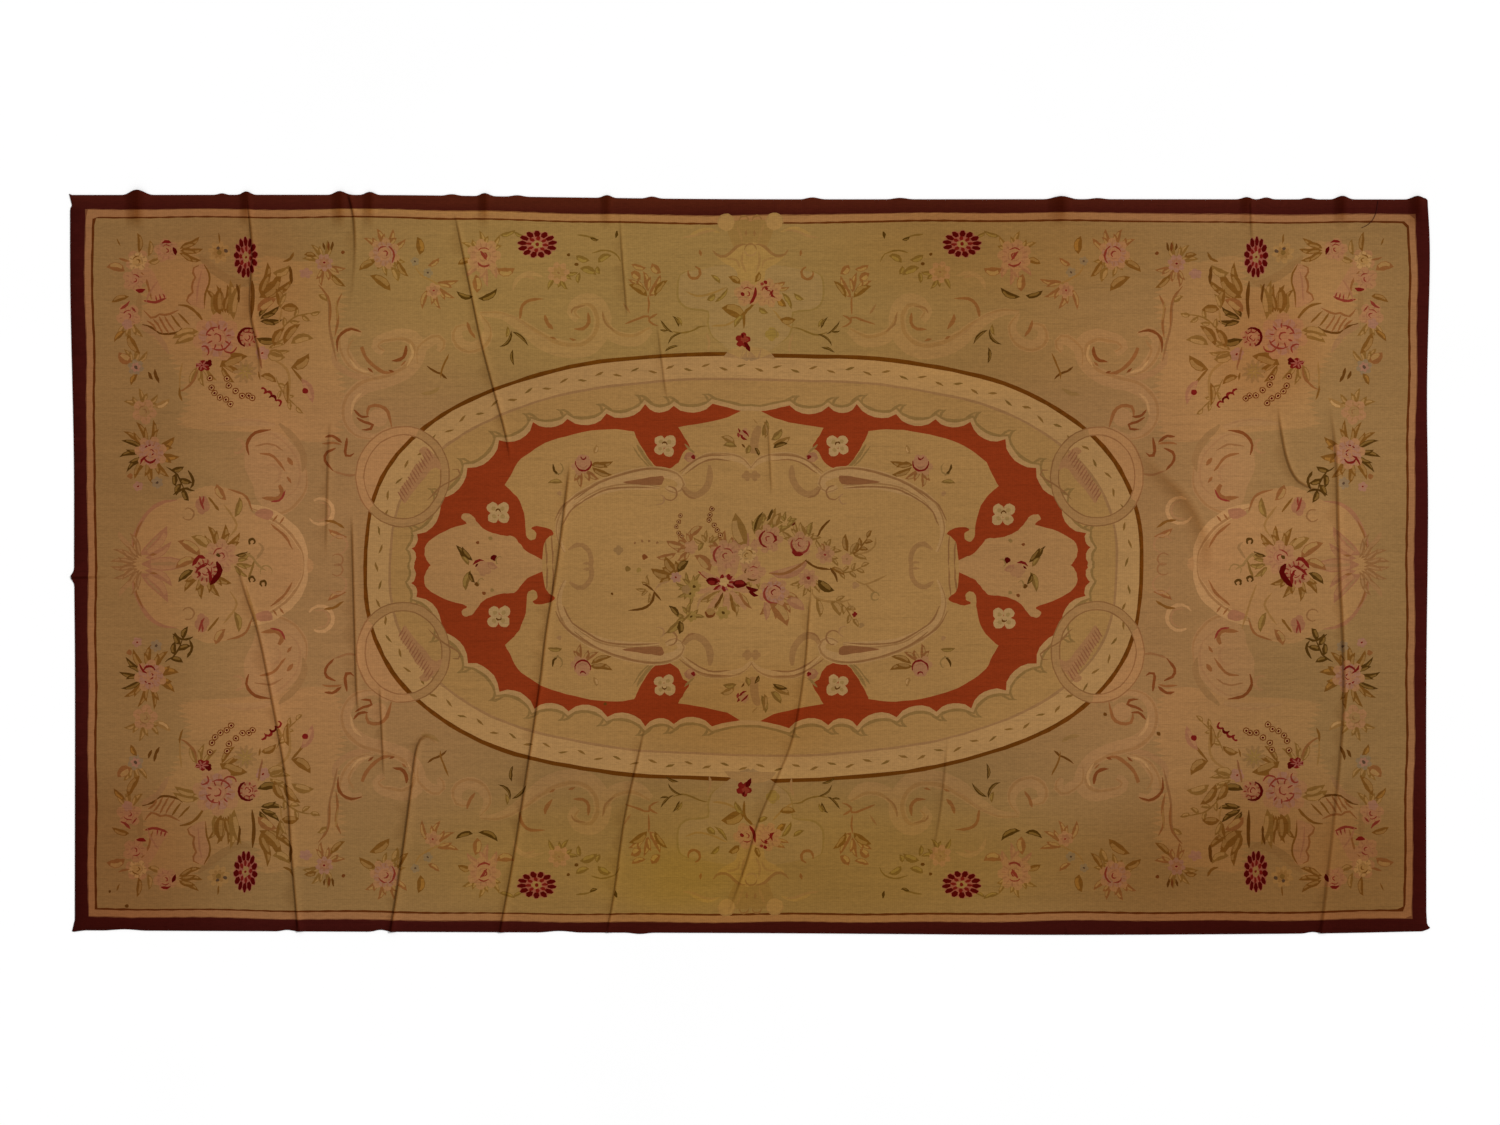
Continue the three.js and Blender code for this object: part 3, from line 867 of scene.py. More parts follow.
CORNER_BOUQUET = (
    ("fan", (526, 246), 33, 58, 122, 8, 5, "brown"),
    ("fan", (493, 262), 40, 103, 158, 6, 7, "brown"),
    ("fan", (494, 244), 26, 118, 196, 6, 5, "dark"),
    ("fan", (532, 204), 27, 172, 232, 5, 5, "brown"),
    ("fan", (550, 204), 25, 228, 290, 5, 4.5, "tan"),
    ("fan", (485, 214), 25, 150, 200, 4, 4.5, "tan"),
    ("sprig", ((470, 232), (455, 246), (438, 250)), 10, 5, "tan"),
    ("sprig", ((474, 186), (466, 170), (452, 156)), 9, 5, "tan"),
    # The next stroke is the dark stem from the mum down to the rose, drawn wider and darker as the painted
    # shadow of the crease that runs over it at the upper left corner; it is woven in all four corners
    ("stroke", ((498.5, 284), (497, 266), (497.7, 246)), "leaf_brown", 3.2),
    ("leaf", (536, 250), (538, 268), 8, 0.1, "tan"),
    ("leaf", (529, 250), (529, 276), 9, -0.12, "brown"),
    ("leaf", (521, 249), (520.8, 283), 7, 0.08, "tan"),
    ("leaf", (516, 245), (510, 279), 9, -0.1, "tan"),
    ("stroke", ((514, 281), (512, 274), (511, 262)), "leaf_brown", 2.2),
    ("leaf", (491.5, 266.7), (471.5, 288), 10, 0.12, "brown"),
    ("leaf", (478.5, 291.3), (462.3, 298.7), 8, 0.2, "tan"),
    ("stroke", ((467.7, 302.8), (461, 305), (457, 312)), "leaf_shade", 2.6),
    ("stroke", ((460.8, 297.5), (460, 289), (459.2, 280)), "leaf_brown", 3),
    ("leaf", (492.3, 252.8), (475, 264.5), 10, -0.1, "rust"),
    ("leaf", (470, 256), (474.5, 274.5), 7, 0.1, "brown"),
    ("leaf", (469.5, 256), (464, 270), 5, -0.1, "tan"),
    ("leaf", (469, 255.5), (452, 254.7), 8, -0.05, "brown"),
    ("stroke", ((468.5, 255), (469, 247), (471, 240)), "leaf_tan", 1.6),
    ("leaf", (492.3, 225.5), (472.5, 223.5), 7.2, 0.1, "dark"),
    ("leaf", (475, 217), (465.4, 234.5), 7.5, -0.15, "brown"),
    ("leaf", (465.4, 219), (450, 238), 8, -0.12, "brown"),
    ("leaf", (458.5, 219.5), (437, 224.4), 8.5, -0.14, "tan"),
    ("stroke", ((481.5, 208), (464.6, 196), (460, 183.6), (461.5, 159)), "leaf_tan", 2.2),
    ("stroke", ((458.5, 196), (449, 185), (443, 176), (439.5, 166)), "leaf_shade", 2),
    ("leaf", (483, 211.3), (465, 206.5), 8.5, 0.12, "tan"),
    ("leaf", (458.5, 196), (441, 209), 9.5, 0.14, "brown"),
    ("leaf", (449, 185), (438, 162), 8, -0.1, "blush"),
    ("bloom", (444.6, 172.8), 3.2, "wine", 2, 0.1),
    ("leaf", (461.5, 183), (461, 160), 5, 0.1, "brown"),
    ("leaf", (489, 188), (474.5, 181), 6.5, -0.15, "brown"),
    ("stroke", ((491, 192), (489.5, 184)), "leaf_shade", 2),
    ("ring_of_petals", (504.6, 192.8), 2, 12, 11, 4, "sage"),
    ("ring_of_petals", (504.6, 192.8), 1, 8, 8, 1.6, "olive_light", 0.4),
    ("arc", (504.6, 192.8), 5, 20, 200, "olive_line", 1.4),
    ("arc", (502, 196), 3.4, 180, 350, "olive_line", 1.2),
    ("leaf", (530, 198), (503.5, 207.5), 11, -0.1, "brown"),
    ("stroke", ((552.3, 196), (555.4, 185.2), (564.6, 176), (571, 174)), "rust", 2),
    ("stroke", ((567.7, 202), (569.5, 188), (569.2, 174)), "leaf_tan", 1.6),
    ("stroke", ((570, 178), (569, 170), (566.5, 164)), "leaf_shade", 1.8),
    ("rose", (533, 227), 19, "peony", 0.2),
    ("ring_of_petals", (531, 228), 7.6, 12.6, 9, 1.7, "pink_deep", 0.2),
    ("arc", (531, 228), 13, 200, 300, "pink_deep", 2),
    ("arc", (546, 214), 5, 60, 230, "pink_deep", 2),
    ("arc", (520, 219), 7, 190, 330, "pink_deep", 2),
    ("rose", (501.5, 227), 9.5, "wine", 1.0),
    ("arc", (501.5, 227), 9.5, -70, 120, "petal_dark", 2.8),
    ("bloom", (546.2, 199.5), 8, "wine", 5, 0.35, 0.2, 0.75),
    ("bloom", (541, 202), 4, "petal_dark", 3, 0.3),
    ("ring_of_petals", (548, 200), 1, 7, 7, 2, "petal_rose", 0.4, 0.7),
    ("daisy", (487, 210.5), 7, 5, "lilac", 0.3),
    ("stroke", ((491.5, 218), (490, 208), (487.5, 195)), "mauve", 1.8),
    ("beads", ((539.5, 187), (537.7, 177.5), (534.6, 172), (529.2, 167.5), (523, 165.2),
               (518.5, 160.5))),
    ("beads", ((522.6, 186.2), (520.8, 179), (513.8, 173.6), (500.8, 168.5), (497, 166))),
    ("beads", ((507.2, 168.5),), 3.4),
    ("arc", (487, 172.5), 3, 60, 240, "wine", 2.4),
    ("arc", (481.5, 168.5), 3.4, 40, 230, "wine", 3),
    ("arc", (477, 164.5), 3.2, 20, 220, "petal_dark", 2.6),
    ("arc", (471.5, 160.5), 3, 40, 260, "wine", 2.4),
    ("mum", (505.4, 307.5), 12, 20.5),
)
# The garland of small flowers that hangs at a corner's outer side
CORNER_GARLAND = (
    ("rose", (612.3, 303.5), 9.5, "peach", 0.4),
    ("leaf", (611.5, 312), (613, 331), 5, 0.1, "brown"),
    ("leaf", (602, 308.5), (601, 324), 5, 0.1, "tan"),
    ("leaf", (602.3, 302.8), (589.5, 308), 5.5, 0.15, "tan"),
    ("leaf", (625, 294), (642, 297.5), 8.5, 0.15, "rust"),
    ("stroke", ((631, 307), (625, 305), (620, 304)), "rust", 2),
    ("stroke", ((633, 326), (630, 319)), "leaf_shade", 1.8),
    ("rose", (584.6, 314), 9.5, "pink", 0.9),
    ("stroke", ((589, 321.5), (584, 323), (579.5, 321.5)), "wine", 2.6),
    ("stroke", ((578, 317), (576, 313.5), (575, 309)), "petal_dark", 3.4),
    ("fan", (576, 314), 27, 152, 214, 6, 5, "brown"),
    ("fan", (621, 246), 22, 232, 300, 5, 4.5, "tan"),
    ("fan", (616, 198), 20, 60, 130, 5, 4.5, "tan"),
    ("fan", (606, 156), 20, 20, 165, 6, 4.5, "tan"),
    ("daisy", (532, 312), 11, 8, "olive", 0.2),
    ("bloom", (533, 316), 1.8, "blue_dark", 2, 0.1),
    ("bloom", (525.4, 313.6), 2.2, "blue_dark", 2, 0.1),
    ("stroke", ((532, 331), (531.5, 321)), "leaf_shade", 1.4),
    ("rose", (615.4, 285), 9.5, "pale", 1.3),
    ("stroke", ((614, 275), (609, 274), (604.5, 275.5)), "wine", 3.6),
    ("leaf", (620.8, 268.2), (637.5, 263), 5.5, 0.1, "brown"),
    ("rose", (621.5, 249), 10, "pale", 0.5),
    ("stroke", ((629.5, 256.5), (624, 259.5), (620, 264)), "pink_deep", 2.6),
    ("stroke", ((618, 258), (614, 253)), "pink_deep", 2),
    ("bloom", (623, 241), 5.5, "lilac", 5, 0.25),
    ("leaf", (624.6, 234.4), (635.5, 224), 5, 0.1, "ochre"),
    ("leaf", (622.5, 231.5), (610.5, 212), 7.5, 0.08, "brown"),
    ("leaf", (618.5, 203), (631, 212), 10, -0.1, "rust"),
    ("daisy", (613.8, 197.5), 8, 6, "blue", 0.3),
    ("leaf", (612, 191), (618, 180), 5, 0.1, "ochre"),
    ("stroke", ((601, 193), (599.5, 189), (597, 185)), "leaf_brown", 2.6),
    ("stroke", ((595, 196), (593.5, 189), (590, 182)), "leaf_brown", 2.8),
    ("rose", (604.6, 153), 10, "faint", 0.3),
    ("leaf", (595, 158), (580, 166), 6, 0.1, "pale"),
)
# The swag of flowers along a long side, from the corner to the middle
TOP_SWAG = (
    ("fan", (426, 301), 22, 10, 120, 6, 4.5, "tan"),
    ("fan", (426, 299), 21, 190, 300, 6, 4.5, "rust"),
    ("fan", (364.5, 311), 25, 35, 145, 7, 5.5, "rust"),
    ("fan", (364.5, 311), 22, 200, 330, 5, 5, "tan"),
    ("fan", (318, 282), 27, 175, 290, 7, 5, "rust"),
    ("fan", (265, 308.5), 25, 30, 150, 6, 5, "tan"),
    ("fan", (262, 304), 25, 215, 320, 5, 5, "blush"),
    ("fan", (191, 292), 19, 180, 300, 5, 4, "olive"),
    ("fan", (103, 268), 24, 40, 140, 6, 5, "rust"),
    ("daisy", (426.3, 301), 9, 7, "lilac", 0.2),
    ("stroke", ((427, 321), (425.5, 314)), "leaf_brown", 2.4),
    ("stroke", ((421.5, 322), (421.7, 313)), "rust_dark", 2.2),
    ("stroke", ((417, 322), (418.6, 313)), "leaf_brown", 2.4),
    ("leaf", (434, 307), (446, 309), 5, 0.1, "brown"),
    ("bloom", (445, 290.4), 7, "lilac", 5, 0.3, 0.5, 0.8),
    ("leaf", (419.4, 290), (405.6, 278), 6, 0.1, "brown"),
    ("stroke", ((432, 278), (423, 267), (420, 256), (420.2, 237)), "rust", 1.8),
    ("stroke", ((414, 263), (412, 244)), "leaf_tan", 1.6),
    ("leaf", (423, 262), (432, 268), 5, 0.1, "tan"),
    ("bloom", (407, 311.5), 2, "rust_dark", 2, 0.1),
    ("leaf", (374, 303), (390, 294), 7, 0.1, "brown"),
    ("rose", (364.5, 311), 12.5, "peony", 0.3),
    ("arc", (366, 309), 11, 120, 220, "pink_deep", 2.2),
    ("leaf", (359.4, 274.3), (379, 288), 9, 0.1, "brown"),
    ("leaf", (352, 305), (341, 289), 6, 0.1, "brown"),
    ("leaf", (358, 298), (352, 284), 7, -0.1, "tan"),
    ("leaf", (329, 310), (331.5, 327), 8, 0.1, "ochre"),
    ("daisy", (334, 303.5), 4.5, 5, "blue", 0.1),
    ("daisy", (321, 292), 5, 5, "blue", 0.7),
    ("stroke", ((334, 299), (328, 290), (316, 283), (303, 276)), "leaf_tan", 1.6),
    ("leaf", (321, 299), (310, 306), 5, 0.1, "rust"),
    ("daisy", (316, 274), 8, 6, "pale", 0.4),
    ("leaf", (277, 304), (290, 300), 6, 0.1, "brown"),
    ("rose", (265, 308.5), 13.5, "pink", 0.8),
    ("stroke", ((268.5, 313), (265, 309), (262, 304)), "pink_deep", 2.6),
    ("arc", (264, 306), 8, 230, 330, "pink_deep", 2.2),
    ("leaf", (252, 296), (235, 296.5), 8.5, 0.2, "rust"),
    ("leaf", (250, 329), (235, 334), 4, 0.1, "olive"),
    ("leaf", (236, 333), (225, 328), 3, 0.1, "olive"),
    ("leaf", (272, 272), (273, 289), 8.5, 0.05, "rust"),
    ("leaf", (276, 268), (292, 273), 5.2, -0.15, "dark"),
    ("leaf", (271, 266.5), (252.5, 276), 5.6, 0.15, "dark"),
    ("mum", (212.3, 320.5), 19.5, 13.5),
    ("daisy", (190.8, 292), 11, 7, "faint", 0.4),
    ("leaf", (174, 309), (161, 304), 6, 0.1, "olive"),
    ("leaf", (152, 301), (139.5, 308), 6.5, -0.15, "olive"),
    ("leaf", (170, 296), (154, 289), 7, -0.1, "olive"),
    ("leaf", (169.5, 292), (171, 281), 4.5, 0.1, "olive"),
    ("leaf", (153, 298), (150, 290), 4.5, 0.1, "olive"),
    ("bloom", (181.2, 309.8), 1.8, "leaf_brown", 2, 0.1),
    ("bloom", (173.2, 300), 2, "leaf_brown", 2, 0.1),
    ("stroke", ((173, 330), (162, 328), (153, 325)), "olive", 1.4),
    ("leaf", (160, 327), (152, 324.5), 2.6, 0.1, "dark"),
    ("stroke", ((133, 333), (134.5, 326)), "olive_dark", 3.2),
    ("stroke", ((158.5, 311), (147.7, 313.6), (135.4, 310.5), (130, 302)), "olive", 1.5),
    ("leaf", (119, 299.5), (105.5, 296), 5, 0.1, "rust"),
    ("leaf", (99, 300.5), (90.5, 291.5), 8, 0.1, "rust"),
    ("leaf", (120, 291), (110.5, 284), 8, -0.1, "rust"),
    ("leaf", (103, 267.5), (120.5, 278), 7.5, 0.1, "brown"),
    ("leaf", (101, 267.5), (96, 279), 6, 0.1, "rust"),
    ("leaf", (95.5, 267.5), (84, 283.5), 5.5, -0.1, "brown"),
    ("stroke", ((102, 269), (101, 260), (101.5, 250)), "rust", 1.6),
    ("stroke", ((124.6, 239.8), (112.3, 244.4), (101.5, 248.2), (99.2, 241.3), (91, 238)), "rust", 2),
    ("stroke", ((92.5, 250), (98, 247), (101.5, 243)), "rust", 1.8),
    ("leaf", (90, 234.5), (80.5, 234.4), 1.6, 0.1, "dark"),
    ("leaf", (89, 244.5), (76.5, 232), 1.8, 0.1, "dark"),
    ("leaf", (70.5, 237), (77, 248), 2.4, 0.1, "dark"),
    ("leaf", (68, 238), (73, 247), 2.6, 0.1, "olive"),
    ("stroke", ((77, 233), (67.7, 231), (58, 233), (50, 237), (42, 238)), "olive", 1.5),
    ("leaf", (67, 231.5), (81, 220), 1.8, 0.15, "dark"),
    ("leaf", (71, 218), (84, 213), 2.1, 0.1, "dark"),
    ("leaf", (239.2, 235), (251, 219.5), 2.7, -0.2, "dark"),
    ("leaf", (244.5, 228), (242.8, 239), 3.4, 0.1, "olive"),
    ("leaf", (238, 234), (223.5, 220), 2.7, -0.1, "dark"),
    ("leaf", (237.7, 216), (236.5, 201), 3, 0.12, "dark"),
    ("stroke", ((322.9, 198.3), (315.7, 193.3), (309.3, 191), (302.9, 185.4)), "leaf_brown", 1.9),
    ("stroke", ((301.4, 211), (306, 200), (309.3, 191), (309.3, 186)), "leaf_shade", 1.6),
    ("stroke", ((328.6, 170.4), (318.6, 171.9), (310.7, 176.9)), "olive_line", 3.4),
)
# Scrolls between the bouquets and the medallion
SCROLLWORK = (
    ("scroll", ((270, 251), (249, 250.5), (229, 240), (211, 226), (194, 217), (175, 213.6), (160, 218),
                (149, 231), (147.5, 249), (156, 262), (170, 262), (178, 252), (172, 244)), 14, "cream"),
    ("scroll", ((147.7, 250), (141.5, 233.6), (132, 226), (114, 224.4), (98.5, 235)), 11, "cream"),
    ("scroll", ((270, 250), (262, 236), (268, 222), (282, 217), (293, 224), (292, 236), (282, 238)),
                10, "cream"),
    ("scroll", ((362, 136), (376, 127.5), (394, 132), (403.5, 147), (401, 164), (386, 178),
                (364, 184), (347, 191), (336, 201), (331.4, 214),
                (335.7, 225), (347, 230), (359, 228), (370, 225), (374, 217), (366, 212)), 12, "cream"),
    ("scroll", ((331, 200), (330, 214), (322, 222), (314, 226), (308, 220), (312, 213)), 9, "cream"),
    ("scroll", ((376, 189), (393, 196), (404, 210), (407, 226), (398, 234), (388, 230)), 9, "cream"),
    ("stroke", ((415.7, 213), (414, 201), (404, 192.6), (393, 188), (380, 187)),
                "scroll_shade", 6, 0.6, 0.15),
    ("stroke", ((399, 205), (392, 196), (380, 192)), "scallop", 2),
    ("stroke", ((396, 225), (402, 214), (396, 202)), "bracket", 2),
    ("stroke", ((388, 172), (396, 164), (399, 150)), "scallop", 2.2),
    ("stroke", ((340, 221), (337, 210), (343, 198)), "scallop", 2.2),
    ("stroke", ((428.6, 274), (421.4, 261), (420.7, 241), (416.4, 219.7), (413, 203)),
                "scroll_edge", 2.2),
    ("stroke", ((408.6, 270), (413.6, 258), (412, 242.6), (414.3, 227)), "rust", 2.2),
    ("stroke", ((388.6, 232.6), (398.6, 235), (407, 231), (412, 224), (412, 212)), "scroll_dark", 2.6),
    ("stroke", ((388, 217.5), (384.3, 208.3), (377, 199.7), (367, 192.6), (356, 192)),
                "rust", 3.4, 0.9, 0.1),
    ("stroke", ((382, 196.5), (376.5, 192)), "scroll_dark", 2.2),
    ("stroke", ((361, 194), (355.5, 192.5)), "scroll_dark", 2.2),
    ("stroke", ((343.6, 219), (344.3, 211), (348.6, 205.4), (358, 203.5)),
                "scroll_dark", 3.2, 0.4, 0.1),
    ("stroke", ((344, 203.5), (348.5, 199)), "rust", 2.2),
    ("stroke", ((283, 243), (280, 234), (275, 227)), "rust", 2.8),
    ("bloom", (372, 147), 10, "panel", 3, 0.1),
    ("stroke", ((383, 148), (382, 157), (373, 159), (364.3, 154.7), (360, 142.6), (358.6, 137)),
                "rust", 3.2),
    ("stroke", ((396, 155), (390, 148.3), (381.4, 147.6)), "scroll_dark", 2.2),
    ("stroke", ((394, 147), (387, 142.6), (378, 139.7), (380, 135.4), (388.6, 134.7)),
                "scroll_dark", 2.4),
    ("stroke", ((230, 247), (227.7, 258.2), (220, 265.2), (205, 266)), "rust", 2.8, 0.6, 0.1),
    ("stroke", ((204.8, 250), (203, 242.8), (197, 235)), "rust", 3.6),
    ("stroke", ((161.5, 251), (160.8, 241.3), (166, 235.2), (176, 235)), "rust", 3),
    ("stroke", ((178.5, 250.5), (175.4, 256), (164, 258)), "scroll_edge", 1.8),
    ("stroke", ((200, 228), (194, 225)), "rust", 2.2),
    ("stroke", ((181, 225.4), (174, 223.4)), "rust", 2.2),
    ("stroke", ((147, 252), (144, 240), (135, 232)), "scroll_edge", 1.8),
    ("stroke", ((126, 260), (119, 250)), "scroll_edge", 2),
    ("stroke", ((250, 252), (232, 246), (216, 233), (199, 223)), "scroll_shade", 1.6),
    ("stroke", ((228, 287), (222, 289), (214, 286)), "scroll_shade", 2),
    ("stroke", ((236, 275), (232, 285), (220, 292), (206, 288)), "panel", 4),
    # The wheel beside the side cartouche, and the bow at the ring
    ("shape", ((500, 118), (488, 132), (468, 130), (450, 112), (445, 92), (456, 68), (474, 55),
               (492, 62),
               (498, 80), (505, 98)), "panel", 4),
    ("scroll", ((445, 101), (446, 80), (458, 62), (474, 54), (488, 56)), 8, "cream"),
    ("stroke", ((470, 140), (454, 125), (445, 107), (447, 93)), "sage", 6.5),
    ("scroll", ((504, 104), (498, 122), (480, 128), (463, 117), (453, 100), (454, 80), (466, 68)),
                7, "faint"),
    ("stroke", ((500, 109), (502, 120), (494, 131), (478, 134.4)), "scroll_dark", 2.8),
    ("stroke", ((489, 110.5), (476, 108), (464, 93)), "rust", 2.6),
    ("stroke", ((494, 118), (478, 120), (466, 114)), "scroll_edge", 1.6),
    ("stroke", ((461.5, 107), (456.5, 99.5)), "rust", 4),
    ("stroke", ((462.5, 88), (458.5, 82)), "rust", 3),
    ("stroke", ((471, 80), (468, 72), (474, 66), (489, 67)), "rust", 4.2, 0.7, 0.1),
    ("stroke", ((480, 63), (470, 65.5), (465, 75)), "pink_deep", 1.8),
    ("arc", (478, 91), 9, 60, 250, "scroll_shade", 3),
    ("arc", (512, 118), 7, 80, 300, "scroll_shade", 3.4),
    ("scroll", ((532, 140), (510, 142), (490, 141), (474, 138)), 6, "faint"),
    ("stroke", ((424.5, 128), (416, 128.5), (408, 122)), "scroll_dark", 2.6),
    ("stroke", ((427, 121), (417, 122), (408, 120.5)), "rust", 2),
    ("stroke", ((402.5, 127), (404.5, 112), (401, 108), (395.5, 111.5)), "scroll_dark", 2.8),
    ("stroke", ((414, 116.4), (423, 112), (424, 104), (416, 94)), "scroll_dark", 2.6),
    ("stroke", ((416, 94), (402, 89.5), (391, 90.5)), "scroll_edge", 2),
    ("arc", (430, 54), 13, 60, 330, "scallop", 4),
    ("arc", (430, 54), 9, 80, 300, "scroll_shade", 2),
    ("stroke", ((425.5, 44.5), (416, 43), (406, 36.5)), "leaf_shade", 2.4),
    ("leaf", (422, 36), (404, 28), 5.5, 0.1, "rust"),
    ("arc", (412, 20), 9, 20, 260, "scroll_shade", 2.4),
    ("arc", (413, 5), 6, 40, 300, "scroll_edge", 1.8),
    ("stroke", ((452, 40), (440, 30), (436, 16)), "field", 5),
)
# Half a side cartouche: its frame and shell, above the row that runs through its middle
CARTOUCHE = (
    ("shape", ((617, -2), (617, 17), (610, 39), (600, 53), (588, 62), (573, 65), (558, 73), (545, 78),
               (533, 78), (512, 72), (503, 62), (499, 52), (482, 47), (463, 33), (450, 14),
                (448, -2)), "cart", 4),
    ("scroll", ((445, -2), (446, 14), (456, 32), (472, 46), (490, 55), (500, 58)), 9, "pale"),
    ("stroke", ((617.5, 13), (616, 25.5), (610, 39.4), (600.8, 53.2), (588.5, 61.7), (573, 64.5)),
                "pink", 3.4,
     0.4, 0.2),
    ("stroke", ((617, 17), (613, 32), (607, 44)), "rust", 1.8),
    ("stroke", ((480, 41), (465.4, 29), (457.5, 16)), "rust", 2.2),
    ("shape", ((496, 50), (490, 56), (478, 54), (482, 45)), "pink", 3),
    ("stroke", ((478, 44), (473, 50.5)), "rust", 1.8),
    ("stroke", ((471, 42), (466.5, 48.6)), "rust", 1.8),
    ("bloom", (548, 59), 7.5, "pink", 4, 0.2, 0.3, 1.3),
    ("stroke", ((551, 68), (549, 60), (546, 54)), "pink_deep", 2),
    ("stroke", ((547, 68), (547.5, 60)), "pink_deep", 1.8),
    ("arc", (562.3, 50), 6, 60, 330, "scroll_edge", 1.8),
    ("leaf", (611, 9), (584, 37), 12, 0.1, "blush"),
    ("leaf", (606, 6), (580, 22), 8, 0.12, "blush"),
    ("leaf", (609, 0.5), (563, 0.5), 13, 0, "blush"),
    ("stroke", ((600, 0.5), (572, 0.5)), "mauve_pale", 2),
    ("stroke", ((606, 13), (590, 30)), "mauve_pale", 1.8),
    ("fan", (608, 1), 31, 2, 80, 8, 4.5, "shell"),
    ("stroke", ((601, 9), (593, 10)), "rust", 2),
    ("stroke", ((619, 17), (628, 26), (631, 32)), "scroll_shade", 4),
    ("leaf", (533.8, 80), (525, 65), 8, 0.1, "rust"),
    ("stroke", ((542, 67), (531.5, 53)), "leaf_shade", 2),
    ("stroke", ((520.8, 27), (513.8, 37.8), (517.7, 47), (527, 59.4)), "leaf_tan", 2),
    ("leaf", (516, 47), (511.5, 66), 6.5, 0.1, "olive"),
    ("stroke", ((522.3, 75), (505.4, 68.6), (498.5, 53)), "rust", 2),
)
# The flowers in a side cartouche, the same way up at both ends
CARTOUCHE_FLOWERS = (
    ("fan", (531, 10), 29, 35, 150, 8, 6, "brown"),
    ("fan", (546, -6), 29, 205, 330, 8, 6, "brown"),
    ("fan", (518, 2), 20, 150, 240, 6, 4, "olive"),
    ("leaf", (541, 15), (558, 27), 9, 0.1, "tan"),
    ("leaf", (550, 7.5), (571.5, 22), 10, 0.1, "rust"),
    ("leaf", (554, 4), (574, -4.5), 9, 0.12, "rust"),
    ("leaf", (557, -7), (571.5, -18), 6.4, 0.1, "dark"),
    ("leaf", (515, 9), (503, 13), 3.6, 0.1, "dark"),
    ("stroke", ((505, 12), (498, 8), (492, 0), (484, -5)), "olive_line", 2.2),
    ("stroke", ((496, 4), (499, -6), (502, -13)), "olive", 2),
    ("stroke", ((492, 22), (487, 17), (494, 6)), "sage", 2.4),
    ("arc", (484, -6), 6, -30, 200, "olive_line", 1.6),
    ("arc", (498.5, 23), 2.8, -60, 240, "olive_dark", 2.6),
    ("arc", (498.5, -14.5), 2.8, -60, 240, "olive_dark", 2.6),
    ("arc", (487, -18.3), 2.8, -60, 240, "olive_dark", 2.6),
    ("stroke", ((505, -20), (500, -36), (496, -50), (492, -64)), "leaf_tan", 1.8),
    ("rose", (529, 8), 13.5, "pale", 0.2),
    ("bloom", (532, 8.6), 2.2, "olive_dark", 2, 0.1),
    ("rose", (544.5, -7), 12, "wine", 0.8),
    ("stroke", ((558, -2), (551, 7), (544.6, 5)), "wine", 3.6),
    ("stroke", ((555, -9), (551, -4), (543, -1)), "wine", 2.4),
    ("stroke", ((534, 2), (530.5, -8), (540.8, -21)), "petal_dark", 5.5),
    ("stroke", ((543, -5), (540, -12), (541, -19)), "wine", 3),
    ("stroke", ((552, -8), (550.5, -13)), "wine", 3),
)
# A small bouquet beside each side cartouche
SIDE_SPRAY = (
    ("fan", (600, 112), 32, 38, 112, 6, 5, "brown"),
    ("fan", (600, 112), 29, 148, 206, 4, 7, "ochre"),
    ("fan", (600, 112), 30, 232, 300, 5, 6, "brown"),
    ("fan", (600, 112), 30, -40, 22, 5, 4.5, "dark"),
    ("rose", (599, 112), 13, "lilac", 0.5),
    ("ring_of_petals", (600, 115), 3, 9, 7, 2, "lilac", 0.2),
    ("arc", (600, 108), 6, 200, 340, "wine", 2.6),
    ("stroke", ((610, 100), (607, 106), (602, 109)), "wine", 2),
    ("daisy", (593, 82), 6, 6, "blue", 0.4),
    ("daisy", (612, 78), 5, 5, "lilac", 0.1),
    ("sprig", ((584, 98), (573, 90), (566, 74)), 13, 5, "dark"),
    ("stroke", ((577, 70), (566, 76), (556, 73)), "olive_dark", 2),
    ("stroke", ((562, 94), (557, 84), (560, 76)), "olive_dark", 2.4),
    ("bloom", (620, 88), 3, "rust", 3, 0.2),
)
